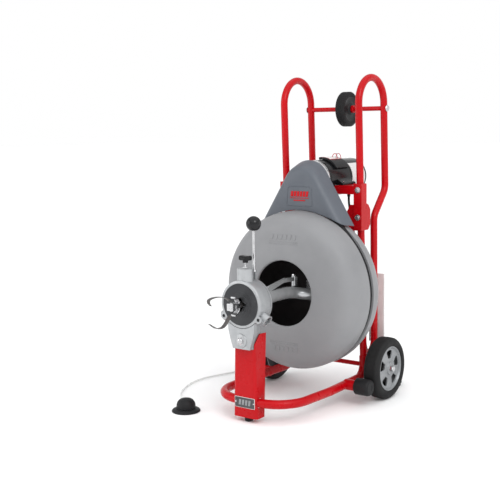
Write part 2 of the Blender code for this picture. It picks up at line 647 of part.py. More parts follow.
def make_cable():
    """The guide tube inside the drum, the cable's free end through it, and the cutter."""
    z = DRUM_Z
    route = rounded([((0, -0.2280, z), 0), ((0, -0.010, z), 0.080), ((0.112, 0.066, z - 0.020), 0.040),
                     ((0.140, 0.070, z - 0.027), 0)], 5)
    guide = swept("guide_tube", route, 0.0210, CAST, 12, bore=0.0120)
    arm = [(-0.205, z + 0.012), (-0.180, z + 0.030), (-0.040, z + 0.052), (0.030, z + 0.048),
           (0.030, z + 0.036), (-0.060, z + 0.038), (-0.160, z + 0.014)]
    unite(guide, prism("guide_arm", arm, "YZ", -0.006, 0.006, CAST),
          rod("arm_boss", "Z", (0, 0.015, z), 0.010, 0.018, 0.055, CAST, 12))
    lead = route + [Vector((0.1750, 0.0755, z - 0.0340)), Vector((0.2065, 0.0790, z - 0.0420))]
    swept("cable_feed", [Vector((0, -0.335, z)), Vector((0, -0.300, z))] + lead, CABLE_R, DARK_STEEL, 10)

    coupling = block("cable_coupling", (-0.012, -0.354, z - 0.012), (0.012, -0.336, z + 0.012), STEEL)
    bow = arc((-0.338, z), 0.032, 88, -88, 12) + arc((-0.338, z), 0.026, -88, 88, 12)
    unite(coupling, prism("clevis_bow", bow, "YZ", -0.009, 0.009, STEEL),
          rod("coupling_neck", "Y", (0, 0, z), 0.0120, -0.345, -0.3065, STEEL))
    cut(coupling, rod("cable_end_hole", "Y", (0, 0, z), CABLE_R + GAP, -0.335 - GAP, -0.29, STEEL))
    thickness = 0.0022
    upper = [(-0.3525, z + 0.020), (-0.375, z + 0.034), (-0.403, z + 0.0415), (-0.435, z + 0.044),
             (-0.4575, z + 0.040), (-0.4590, z + 0.030), (-0.449, z + 0.020)]
    lower = [(-0.3525, z - 0.026), (-0.375, z - 0.048), (-0.395, z - 0.058), (-0.421, z - 0.056),
             (-0.440, z - 0.047), (-0.4590, z - 0.035)]
    for name, spine in (("cutter_blade_upper", upper), ("cutter_blade_lower", lower)):
        outline = [(y, height + thickness / 2) for y, height in spine]
        outline += [(y, height - thickness / 2) for y, height in reversed(spine)]
        if name.endswith("upper"):    # the tip folds back on itself
            outline[6] = (-0.4480, z + 0.0215)
            outline[7] = (-0.4500, z + 0.0185)
            outline[5] = (-0.4612, z + 0.0300)
            outline[8] = (-0.4568, z + 0.0305)
        prism(name, outline, "YZ", -0.008, 0.008, DARK_STEEL)


def make_pedal_and_hose():
    """The air foot pedal on the floor, and the hose from it to the fitting under the motor plate."""
    px, py = PEDAL
    base = [(0.0345, 0), (0.0495, 0), (0.0495, 0.003), (0.046, 0.009), (0.0345, 0.011)]
    pedal = turned("pedal_base", base, RUBBER, "Z", (px, py, 0), 32)
    nose = swept("pedal_spigot", [(px - 0.028, py + 0.028, 0.006), (px - 0.0405, py + 0.0405, 0.006)],
                 0.0050, RUBBER, 10)
    unite(pedal, nose)
    dome = [(0, 0.0105), (0.0335, 0.0105), (0.0335, 0.018), (0.0310, 0.030), (0.0240, 0.0395),
            (0.0120, 0.0445), (0, 0.0455)]
    turned("pedal_bulb", dome, RUBBER, "Z", (px, py, 0), 28)
    fitting = (-0.085, 0.283, 0)
    rod("air_hose_fitting", "Z", fitting, 0.0075, 0.7300, 0.7537, BLACK, 12)
    hose = [(px - 0.0408, py + 0.0408, 0.0060), (-0.320, -0.220, 0.0053), (-0.352, -0.192, 0.0051),
            (-0.380, -0.165, 0.0051), (-0.411, -0.117, 0.0051), (-0.438, -0.055, 0.0051),
            (-0.452, 0.003, 0.0051), (-0.452, 0.064, 0.0051), (-0.433, 0.133, 0.0051),
            (-0.412, 0.190, 0.0051), (-0.393, 0.250, 0.0051), (-0.375, 0.310, 0.0051),
            (-0.352, 0.370, 0.0051), (-0.320, 0.418, 0.0055), (-0.280, 0.442, 0.0085),
            (-0.232, 0.436, 0.028), (-0.190, 0.410, 0.064), (-0.155, 0.375, 0.120),
            (-0.128, 0.340, 0.210), (-0.108, 0.308, 0.340), (-0.093, 0.290, 0.490),
            (-0.085, 0.283, 0.640), (-0.085, 0.283, 0.7297)]
    cord("air_hose", hose, 0.0033, CLEAR, 0.024)


def make_power_cord():
    """The mains lead: out of its gland under the motor plate, down, and into a coil with its plug."""
    gland = (0.0965, 0.225, 0)
    profile = [(0, 0.7537), (0.0100, 0.7537), (0.0100, 0.7450), (0.0078, 0.7430), (0.0062, 0.7150), (0, 0.7150)]
    turned("cord_gland", profile, BLACK, "Z", gland, 12)
    cx, cy = 0.1525, 0.3905
    route = [(0.0965, 0.225, 0.7147), (0.0975, 0.225, 0.690), (0.104, 0.226, 0.650), (0.112, 0.233, 0.590),
             (0.118, 0.246, 0.500), (0.121, 0.262, 0.380), (0.120, 0.284, 0.260), (0.116, 0.315, 0.160),
             (0.1105, 0.350, 0.105), (0.1085, 0.382, 0.072), (0.1080, 0.3905, 0.0465)]
    cord("power_cord", route, 0.0042, BLACK, 0.018)
    wound = [(0.0400, 0.001), (0.0420, 0), (0.0645, 0), (0.0665, 0.002), (0.0665, 0.042), (0.0645, 0.044),
             (0.0420, 0.044), (0.0400, 0.042)]
    turned("power_cord_coil", wound, BLACK, "Z", (cx, cy, 0), 32)
    x = cx - 0.062
    tail = [(x - 0.005, 0.4275), (x + 0.004, 0.4275), (x + 0.007, 0.447), (x + 0.014, 0.452), (x + 0.014, 0.484),
            (x - 0.014, 0.484), (x - 0.014, 0.452), (x - 0.008, 0.447)]
    plug = prism("power_plug", tail, "XY", 0, 0.024, BLACK)
    unite(plug, block("plug_blade_left", (x - 0.0072, 0.480, 0.012), (x - 0.0056, 0.500, 0.018)),
          block("plug_blade_right", (x + 0.0056, 0.480, 0.012), (x + 0.0072, 0.500, 0.018)),
          rod("plug_pin", "Y", (x, 0, 0.006), 0.0024, 0.480, 0.502, segments=8))


for old in list(bpy.data.objects):
    bpy.data.objects.remove(old, do_unlink=True)

machine = bpy.data.objects.new("machine", None)
bpy.context.collection.objects.link(machine)
machine.location = (0, MIDDLE_Y, 0)

for label, side in (("left", -1), ("right", 1)):
    make_frame_tube("frame_tube_" + label, side)
make_base()
make_crossbar()
make_wheels()
make_brackets()
make_drum()
make_belt()
make_motor()
make_guard()
make_post()
make_head()
make_cable()
make_pedal_and_hose()
make_power_cord()
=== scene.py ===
"""The drum drain-cleaning machine in a plain studio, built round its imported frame.

Metres, +Z up. Shapes are written in the machine's own coordinates, whose Y is MIDDLE_Y behind the frame's.
"""
import math

import bmesh
import bpy
from mathutils import Matrix, Vector


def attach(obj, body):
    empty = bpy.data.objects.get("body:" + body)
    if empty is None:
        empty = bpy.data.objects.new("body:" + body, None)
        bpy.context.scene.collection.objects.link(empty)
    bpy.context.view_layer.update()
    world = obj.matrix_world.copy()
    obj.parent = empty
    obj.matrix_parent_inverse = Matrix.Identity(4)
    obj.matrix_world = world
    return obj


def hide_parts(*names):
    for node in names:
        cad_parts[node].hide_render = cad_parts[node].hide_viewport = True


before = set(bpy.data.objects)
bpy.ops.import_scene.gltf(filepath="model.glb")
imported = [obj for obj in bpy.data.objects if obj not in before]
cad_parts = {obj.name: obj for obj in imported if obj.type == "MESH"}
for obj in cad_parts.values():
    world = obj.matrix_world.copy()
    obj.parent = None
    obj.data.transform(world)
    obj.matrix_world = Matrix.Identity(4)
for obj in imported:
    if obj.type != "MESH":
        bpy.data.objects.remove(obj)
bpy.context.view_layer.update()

MIDDLE_Y = 0.0126
GAP = 0.0003
TUBE_R, TUBE_X, LEAN = 0.0127, 0.156, 0.0392
LOOP_Z, LOOP_R, FRONT_Y_AT_LOOP = 1.0435, 0.090, 0.1915
FOOT_Z = 0.1403
BRACKET_Y, BRACKET_LOW, BRACKET_HIGH = 0.1840, 0.600, 0.765
BUMPER_Y, BUMPER_IN, BUMPER_OUT = 0.094, 0.2045, 0.262
BASE_R, BASE_Z, BASE_FRONT_Y = 0.015, 0.068, -0.262
AXLE_R, AXLE_Y = 0.008, 0.2276
CROSSBAR_R, CROSSBAR_Z = 0.0083, 1.0265
WHEEL_R, WHEEL_IN, WHEEL_OUT, RIM_R = 0.110, 0.212, 0.271, 0.079
LOADER_R, LOADER_W, LOADER_X = 0.0638, 0.036, 0.003
DRUM_Z, DRUM_R, MOUTH_R = 0.397, 0.278, 0.114
GROOVE_R, GROOVE_Y = 0.2642, (0.0600, 0.0830)
GUARD_FRONT, GUARD_DEPTH, GUARD_TIP_R = 0.0520, 0.063, 0.2840
MARK_Y = (0.0506, 0.0526)
SHAFT_Z, PLATE_Z, MOTOR_R = 0.780, 0.757, 0.067
HEAD_R, HEAD_Y, BOSS_Y, CABLE_R = 0.079, (-0.297, -0.238), -0.267, 0.008
POST_Y, POST_Z, SHEET = -0.281, 0.0163, 0.0025
POST_TOP, YOKE_BOLT_Z = 0.2495, 0.2775
PEDAL = (-0.2445, -0.293)
EAR_X, EAR_Z = 0.0695, 0.3535
LEVER_X, LEVER_Y, BALL_R = 0.0105, -0.2337, 0.0249
GLAND_X, GLAND_Y = 0.0965, 0.225
BARB_X, BARB_Y = -0.085, 0.283
SIDES = (("left", -1), ("right", 1))


def link(name, data):
    obj = bpy.data.objects.new(name, data)
    bpy.context.collection.objects.link(obj)
    return obj


# ---------------------------------------------------------------- camera
def make_camera():
    azimuth, elevation, roll = math.radians(36.59), math.radians(7.44), math.radians(-0.79)
    back = Vector((math.sin(azimuth) * math.cos(elevation), -math.cos(azimuth) * math.cos(elevation),
                   math.sin(elevation)))
    right = Vector((math.cos(azimuth), math.sin(azimuth), 0))
    up = back.cross(right)
    across = right * math.cos(roll) + up * math.sin(roll)
    upward = up * math.cos(roll) - right * math.sin(roll)
    data = bpy.data.cameras.new("camera")
    data.sensor_width = 36.0
    data.lens = 948 / 500 * 36.0
    camera = link("camera", data)
    camera.matrix_world = (Matrix.Translation((1.8253, -2.6994 + MIDDLE_Y, 0.96905))
                           @ Matrix((across, upward, back)).transposed().to_4x4())
    bpy.context.scene.camera = camera


make_camera()


# ---------------------------------------------------------------- materials
def tree(name):
    mat = bpy.data.materials.new(name)
    mat.use_nodes = True
    nodes, links = mat.node_tree.nodes, mat.node_tree.links
    shader = nodes["Principled BSDF"]
    where = nodes.new("ShaderNodeTexCoord").outputs["Object"]
    return mat, nodes, links, shader, where


def noise(nodes, links, where, scale, detail=4.0, rough=0.55):
    node = nodes.new("ShaderNodeTexNoise")
    node.inputs["Scale"].default_value = scale
    node.inputs["Detail"].default_value = detail
    node.inputs["Roughness"].default_value = rough
    links.new(where, node.inputs["Vector"])
    return node.outputs["Fac"]


def spread(nodes, links, value, low, high, start=0.3, end=0.7):
    node = nodes.new("ShaderNodeMapRange")
    node.inputs["From Min"].default_value = start
    node.inputs["From Max"].default_value = end
    node.inputs["To Min"].default_value = low
    node.inputs["To Max"].default_value = high
    links.new(value, node.inputs["Value"])
    return node.outputs["Result"]


def blend_colour(nodes, links, factor, first, second):
    node = nodes.new("ShaderNodeMix")
    node.data_type = "RGBA"
    links.new(factor, node.inputs[0])
    for socket, colour in ((node.inputs[6], first), (node.inputs[7], second)):
        if isinstance(colour, tuple):
            socket.default_value = colour + (1.0,)
        else:
            links.new(colour, socket)
    return node.outputs[2]


def stretched(nodes, links, where, scale):
    node = nodes.new("ShaderNodeMapping")
    node.inputs["Scale"].default_value = scale
    links.new(where, node.inputs["Vector"])
    return node.outputs["Vector"]


def finish(name, colour, other, rough, metal=0.0, coat=0.0, grain=(600, 0.15, 0.0002), cloud=9.0,
           specks=None, brushed=None, rings=None, specular=0.5):
    """A surface with drifting colour, uneven gloss and a fine relief; specks are scuffs or cast pits."""
    mat, nodes, links, shader, where = tree(name)
    drift = spread(nodes, links, noise(nodes, links, where, cloud, 5.0), 0.0, 1.0, 0.35, 0.68)
    tone = blend_colour(nodes, links, drift, colour, other)
    if specks:
        scale, amount, shade = specks
        dots = spread(nodes, links, noise(nodes, links, where, scale, 6.0, 0.7), 0.0, amount, 0.60, 0.72)
        tone = blend_colour(nodes, links, dots, tone, shade)
    links.new(tone, shader.inputs["Base Color"])
    links.new(spread(nodes, links, noise(nodes, links, where, cloud * 4, 5.0), *rough),
              shader.inputs["Roughness"])
    shader.inputs["Metallic"].default_value = metal
    shader.inputs["Coat Weight"].default_value = coat
    shader.inputs["Coat Roughness"].default_value = 0.08
    shader.inputs["Specular IOR Level"].default_value = specular
    scale, strength, distance = grain
    source = where
    if brushed:
        source = stretched(nodes, links, where, brushed)
    if rings:
        offset = nodes.new("ShaderNodeVectorMath")
        offset.operation = "MULTIPLY_ADD"
        offset.inputs[1].default_value = (1, 0, 1)
        offset.inputs[2].default_value = (0, 0, -rings)
        links.new(where, offset.inputs[0])
        reach = nodes.new("ShaderNodeVectorMath")
        reach.operation = "LENGTH"
        links.new(offset.outputs["Vector"], reach.inputs[0])
        joined = nodes.new("ShaderNodeCombineXYZ")
        links.new(reach.outputs["Value"], joined.inputs["X"])
        source = joined.outputs["Vector"]
    relief = nodes.new("ShaderNodeBump")
    relief.inputs["Strength"].default_value = strength
    relief.inputs["Distance"].default_value = distance
    links.new(noise(nodes, links, source, scale, 3.0), relief.inputs["Height"])
    links.new(relief.outputs["Normal"], shader.inputs["Normal"])
    return mat


RED = finish("red_powder_coat", (0.47, 0.001, 0.005), (0.42, 0.001, 0.004), (0.24, 0.33),
             grain=(520, 0.10, 0.0003), cloud=7.0, specks=(90, 0.08, (0.30, 0.001, 0.004)), specular=0.20)
MOTOR_BLACK = finish("black_gloss_paint", (0.006, 0.006, 0.007), (0.010, 0.010, 0.011), (0.14, 0.24),
                     grain=(500, 0.06, 0.0003), specular=0.22)
DRUM_GREY = finish("moulded_drum", (0.248, 0.250, 0.258), (0.220, 0.222, 0.230), (0.40, 0.52),
                   grain=(1100, 0.30, 0.0003), cloud=5.0, specks=(420, 0.35, (0.15, 0.15, 0.16)), specular=0.35)
# Near-black painted shade for the hollow inside of the drum and the faces of its belt groove.
DRUM_PAINTED_SHADE = finish("drum_painted_shade", (0.020, 0.018, 0.019), (0.034, 0.026, 0.027), (0.60, 0.80),
                     grain=(700, 0.35, 0.0004))
GUARD_GREY = finish("moulded_guard", (0.100, 0.111, 0.130), (0.084, 0.094, 0.112), (0.36, 0.50),
                    grain=(1300, 0.28, 0.0003), cloud=6.0, specks=(500, 0.25, (0.055, 0.063, 0.078)), specular=0.35)
CAST = finish("satin_cast_alloy", (0.44, 0.45, 0.46), (0.35, 0.36, 0.37), (0.32, 0.48), metal=0.75,
              grain=(620, 0.30, 0.0005), cloud=16.0, specks=(700, 0.35, (0.22, 0.22, 0.23)))
SHINY = finish("polished_casting", (0.62, 0.63, 0.64), (0.50, 0.51, 0.52), (0.14, 0.26), metal=0.55, coat=0.4,
               grain=(300, 0.10, 0.0004), cloud=22.0, specks=(500, 0.2, (0.45, 0.45, 0.46)), specular=0.9)
STEEL = finish("bright_steel", (0.62, 0.62, 0.63), (0.50, 0.50, 0.51), (0.18, 0.32), metal=1.0,
               grain=(900, 0.07, 0.0001), cloud=30.0, brushed=(1, 1, 0.08))
DISC = finish("machined_disc", (0.052, 0.053, 0.056), (0.036, 0.037, 0.040), (0.28, 0.40), metal=0.6,
              grain=(2600, 0.45, 0.0003), rings=DRUM_Z)
DARK_STEEL = finish("oiled_steel", (0.085, 0.080, 0.078), (0.14, 0.13, 0.125), (0.30, 0.48), metal=0.8,
                    grain=(700, 0.35, 0.0003), cloud=30.0, specks=(300, 0.5, (0.19, 0.10, 0.06)))
TYRE = finish("tyre_rubber", (0.010, 0.010, 0.011), (0.018, 0.018, 0.018), (0.60, 0.78), cloud=14.0,
              grain=(900, 0.30, 0.0003), specks=(160, 0.25, (0.040, 0.039, 0.037)), specular=0.20)
RUBBER = finish("black_rubber", (0.009, 0.009, 0.010), (0.016, 0.016, 0.017), (0.46, 0.64),
                grain=(1000, 0.25, 0.0003), specks=(240, 0.20, (0.034, 0.034, 0.034)), specular=0.20)
PLASTIC = finish("black_plastic", (0.008, 0.008, 0.009), (0.013, 0.013, 0.014), (0.30, 0.44),
                 grain=(1200, 0.16, 0.0002), specular=0.22)
GLOSS = finish("black_ball", (0.010, 0.010, 0.011), (0.014, 0.014, 0.015), (0.06, 0.10),
               grain=(200, 0.03, 0.0002), specular=0.28)
HUB_GREY = finish("hub_casting", (0.30, 0.31, 0.32), (0.23, 0.24, 0.25), (0.38, 0.54), metal=0.45,
                  grain=(800, 0.35, 0.0004), cloud=18.0, specks=(420, 0.4, (0.14, 0.14, 0.15)))
NYLON = finish("white_nylon", (0.78, 0.78, 0.77), (0.66, 0.66, 0.65), (0.36, 0.50), cloud=14.0,
               grain=(500, 0.2, 0.0003), specks=(90, 0.4, (0.45, 0.44, 0.42)))
HOSE = finish("clear_hose", (0.80, 0.81, 0.80), (0.73, 0.74, 0.73), (0.24, 0.34), grain=(60, 0.05, 0.0002))
LABEL = finish("pale_label", (0.74, 0.74, 0.73), (0.64, 0.64, 0.63), (0.34, 0.48), grain=(900, 0.1, 0.0001))
PLATE_GREY = finish("dark_name_plate", (0.045, 0.045, 0.048), (0.07, 0.07, 0.074), (0.32, 0.46), metal=0.3,
                    grain=(900, 0.2, 0.0002), specks=(500, 0.35, (0.14, 0.14, 0.14)))


# ---------------------------------------------------------------- shapes
def add(name, verts, faces, mat, angle=32):
    """An object from points in the machine's coordinates."""
    mesh = bpy.data.meshes.new(name)
    mesh.from_pydata([(v[0], v[1] + MIDDLE_Y, v[2]) for v in verts], [], faces)
    bm = bmesh.new()
    bm.from_mesh(mesh)
    bmesh.ops.remove_doubles(bm, verts=bm.verts, dist=1e-7)
    bmesh.ops.recalc_face_normals(bm, faces=bm.faces)
    bm.to_mesh(mesh)
    bm.free()
    mesh.shade_smooth()
    mesh.set_sharp_from_angle(angle=math.radians(angle))
    mesh.materials.append(mat)
    return link(name, mesh)


def apply_modifiers(obj, angle=32):
    graph = bpy.context.evaluated_depsgraph_get()
    mesh = bpy.data.meshes.new_from_object(obj.evaluated_get(graph))
    obj.modifiers.clear()
    obj.data = mesh
    mesh.shade_smooth()
    mesh.set_sharp_from_angle(angle=math.radians(angle))
    return obj


def combine(obj, operation, *others):
    """Cuts other shapes away or joins them on, for good."""
    for other in others:
        mod = obj.modifiers.new(other.name, "BOOLEAN")
        mod.operation, mod.solver, mod.object = operation, "EXACT", other
    apply_modifiers(obj)
    for other in others:
        bpy.data.objects.remove(other, do_unlink=True)
    return obj


def cut(obj, *others):
    return combine(obj, "DIFFERENCE", *others)


def unite(obj, *others):
    return combine(obj, "UNION", *others)


def soften(obj, width=0.001, segments=3, angle=32):
    """Rounds the sharp edges with real geometry."""
    mod = obj.modifiers.new("round", "BEVEL")
    mod.width, mod.segments = width, segments
    mod.limit_method, mod.angle_limit = "ANGLE", math.radians(angle)
    mod.use_clamp_overlap = True
    mod.harden_normals = True
    return obj


def place(axis, radius, angle, along):
    a, b = radius * math.cos(angle), radius * math.sin(angle)
    return {"X": (along, a, b), "Y": (a, along, b), "Z": (a, b, along)}[axis]


def turned(name, profile, mat, axis, centre=(0, 0, 0), segments=96):
    """Turns a profile of (radius, distance along the axis) about its axis."""
    centre = Vector(centre)
    verts, rings, faces = [], [], []
    for radius, along in profile:
        if radius < 1e-6:
            rings.append([len(verts)] * segments)
            verts.append(centre + Vector(place(axis, 0, 0, along)))
        else:
            rings.append(range(len(verts), len(verts) + segments))
            verts += [centre + Vector(place(axis, radius, math.tau * i / segments, along))
                      for i in range(segments)]
    for k in range(len(rings)):
        ring, other = rings[k], rings[(k + 1) % len(rings)]
        for i in range(segments):
            j = (i + 1) % segments
            corners = [ring[i], ring[j], other[j], other[i]]
            corners = [c for n, c in enumerate(corners) if c != corners[n - 1]]
            if len(corners) > 2:
                faces.append(corners)
    return add(name, verts, faces, mat)


def rod(name, axis, centre, radius, low, high, mat, segments=48):
    return turned(name, [(0, low), (radius, low), (radius, high), (0, high)], mat, axis, centre, segments)


def ring(name, axis, centre, inner, outer, low, high, mat, segments=64):
    return turned(name, [(inner, low), (outer, low), (outer, high), (inner, high)], mat, axis, centre, segments)


def hexagon(name, axis, centre, radius, low, high, mat):
    """A hexagonal bolt head or nut with a domed top."""
    sign = 1 if high > low else -1
    profile = [(0, low), (radius, low), (radius, high - sign * 0.0012), (radius * 0.90, high), (0, high)]
    return turned(name, profile, mat, axis, centre, 6)


def prism_faces(count):
    """Two ends and the sides between two outlines of the same number of points."""
    return ([list(range(count)), list(range(count, 2 * count))]
            + [[i, (i + 1) % count, (i + 1) % count + count, i + count] for i in range(count)])


def band_faces(count, loops):
    """The skin through closed loops of points, back round to the first loop."""
    faces = []
    for k in range(loops):
        a, b = k * count, (k + 1) % loops * count
        faces += [[a + i, a + (i + 1) % count, b + (i + 1) % count, b + i] for i in range(count)]
    return faces


def sheet_faces(count, rows):
    """The skin through rows of points that are open at both ends."""
    return [[a, a + 1, a + 1 + count, a + count]
            for k in range(rows - 1) for a in range(k * count, k * count + count - 1)]


def prism(name, outline, plane, low, high, mat):
    def point(pair, depth):
        a, b = pair
        return {"XZ": (a, depth, b), "YZ": (depth, a, b), "XY": (a, b, depth)}[plane]
    verts = [point(p, low) for p in outline] + [point(p, high) for p in outline]
    return add(name, verts, prism_faces(len(outline)), mat)


def block(name, low, high, mat):
    outline = [(low[0], low[1]), (high[0], low[1]), (high[0], high[1]), (low[0], high[1])]
    return prism(name, outline, "XY", low[2], high[2], mat)


def side_block(name, side, across, deep, tall, mat):
    """A block on one side of the machine; across is measured from its middle plane."""
    left, right = sorted(side * x for x in across)
    return block(name, (left, deep[0], tall[0]), (right, deep[1], tall[1]), mat)


def slat(name, x, low, width, shift, tall, depth, mat):
    """A flat bar that leans to the right by shift over its height."""
    outline = [(x, low), (x + width, low), (x + width + shift, low + tall), (x + shift, low + tall)]
    return prism(name, outline, "XZ", *depth, mat)


def arc(centre, radius, start, end, count):
    """Points on an arc between two angles in degrees."""
    return [(centre[0] + radius * math.cos(math.radians(start + (end - start) * i / count)),
             centre[1] + radius * math.sin(math.radians(start + (end - start) * i / count)))
            for i in range(count + 1)]


def rounded(corners, steps=12):
    """A path through corners, each given as (point, bend radius)."""
    points = [Vector(p) for p, _ in corners]
    path = [points[0]]
    for k in range(1, len(corners) - 1):
        radius = corners[k][1]
        before = (points[k - 1] - points[k]).normalized()
        after = (points[k + 1] - points[k]).normalized()
        half = before.angle(after) / 2
        reach = radius / math.tan(half)
        middle = points[k] + (before + after).normalized() * (radius / math.sin(half))
        start = points[k] + before * reach - middle
        axis = start.cross(points[k] + after * reach - middle).normalized()
        for i in range(steps + 1):
            path.append(middle + Matrix.Rotation((math.pi - 2 * half) * i / steps, 3, axis) @ start)
    path.append(points[-1])
    return path


def soft_outline(corners, steps=5):
    """A closed flat outline with each corner (a, b, radius) rounded."""
    count = len(corners)
    result = []
    for k in range(count):
        here = Vector(corners[k][:2])
        radius = corners[k][2]
        if radius <= 0:
            result.append(tuple(here))
            continue
        before = (Vector(corners[k - 1][:2]) - here).normalized()
        after = (Vector(corners[(k + 1) % count][:2]) - here).normalized()
        half = before.angle(after) / 2
        reach = radius / math.tan(half)
        start, end = here + before * reach, here + after * reach
        for i in range(steps + 1):
            t = i / steps
            result.append(tuple(start * (1 - t) ** 2 + here * 2 * t * (1 - t) + end * t * t))
    return result


def swept(name, path, radius, mat, sides=32, bore=None):
    """A round tube along a path, closed at its ends, with an open bore if one is given."""
    path = [Vector(p) for p in path]
    frames = []
    side = (path[1] - path[0]).orthogonal().normalized()
    for i in range(len(path)):
        tangent = (path[min(i + 1, len(path) - 1)] - path[max(i - 1, 0)]).normalized()
        side = (side - tangent * side.dot(tangent)).normalized()
        frames.append((side.copy(), tangent.cross(side)))
    verts, faces, count = [], [], len(path)
    skins = [radius] if bore is None else [radius, bore]
    for r in skins:
        for point, (a, b) in zip(path, frames):
            verts += [point + a * r * math.cos(math.tau * i / sides) + b * r * math.sin(math.tau * i / sides)
                      for i in range(sides)]
    for skin in range(len(skins)):
        for k in range(count - 1):
            low = (skin * count + k) * sides
            faces += [[low + i, low + (i + 1) % sides, low + sides + (i + 1) % sides, low + sides + i]
                      for i in range(sides)]
    last, inner = (count - 1) * sides, count * sides
    if bore is None:
        faces += [list(range(sides)), list(range(last, last + sides))]
    else:
        for i in range(sides):
            j = (i + 1) % sides
            faces += [[i, j, inner + j, inner + i], [last + i, last + j, inner + last + j, inner + last + i]]
    return add(name, verts, faces, mat)


def show(obj, body, slot, *nodes):
    """Puts a piece on its body and hides the CAD nodes it stands for; slot is not used."""
    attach(obj, body)
    if nodes:
        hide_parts(*nodes)
    return obj


def keep(node, mat):
    """A CAD node that is right as it is takes a better finish."""
    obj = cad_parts[node]
    for holder in obj.material_slots:
        holder.material = mat


# ---------------------------------------------------------------- cords
def smooth_route(points, spacing):
    """Points at an even spacing along a smooth curve through the route's own points."""
    points = [Vector(p) for p in points]
    ends = [points[0] * 2 - points[1]] + points + [points[-1] * 2 - points[-2]]
    fine = []
    for k in range(1, len(ends) - 2):
        a, b, c, d = ends[k - 1:k + 3]
        for i in range(40):
            t = i / 40
            fine.append(0.5 * (2 * b + (c - a) * t + (2 * a - 5 * b + 4 * c - d) * t * t
                               + (3 * b - a - 3 * c + d) * t ** 3))
    fine.append(points[-1])
    total = sum((q - p).length for p, q in zip(fine, fine[1:]))
    count = max(2, round(total / spacing))
    result, walked = [fine[0]], 0.0
    for p, q in zip(fine, fine[1:]):
        step = (q - p).length
        while walked + step >= total * len(result) / count and len(result) < count:
            result.append(p.lerp(q, (total * len(result) / count - walked) / step))
        walked += step
    result.append(fine[-1])
    return result


def cord_curve(name, path, radius, mat):
    curve = bpy.data.curves.new(name, "CURVE")
    curve.dimensions = "3D"
    curve.bevel_depth = radius
    curve.bevel_resolution = 5
    curve.use_fill_caps = True
    spline = curve.splines.new("POLY")
    spline.points.add(len(path) - 1)
    for target, point in zip(spline.points, path):
        target.co = (point[0], point[1] + MIDDLE_Y, point[2], 1)
    curve.materials.append(mat)
    return link(name, curve)


def make_hose():
    px, py = PEDAL
    route = [(px - 0.0408, py + 0.0408, 0.0060), (-0.320, -0.220, 0.0053), (-0.352, -0.192, 0.0051),
             (-0.380, -0.165, 0.0051), (-0.411, -0.117, 0.0051), (-0.438, -0.055, 0.0051),
             (-0.452, 0.003, 0.0051), (-0.452, 0.064, 0.0051), (-0.433, 0.133, 0.0051),
             (-0.412, 0.190, 0.0051), (-0.393, 0.250, 0.0051), (-0.375, 0.310, 0.0051),
             (-0.352, 0.370, 0.0051), (-0.320, 0.418, 0.0055), (-0.280, 0.442, 0.0085),
             (-0.232, 0.436, 0.028), (-0.190, 0.410, 0.064), (-0.155, 0.375, 0.120),
             (-0.128, 0.340, 0.210), (-0.108, 0.308, 0.340), (-0.093, 0.290, 0.490),
             (BARB_X, BARB_Y, 0.640), (BARB_X, BARB_Y, 0.7297)]
    path = list(reversed(smooth_route(route, 0.012)))
    hose = cord_curve("air_hose_tube", path, 0.0033, HOSE)
    show(hose, "machine", "hose_plastic", "air_hose")


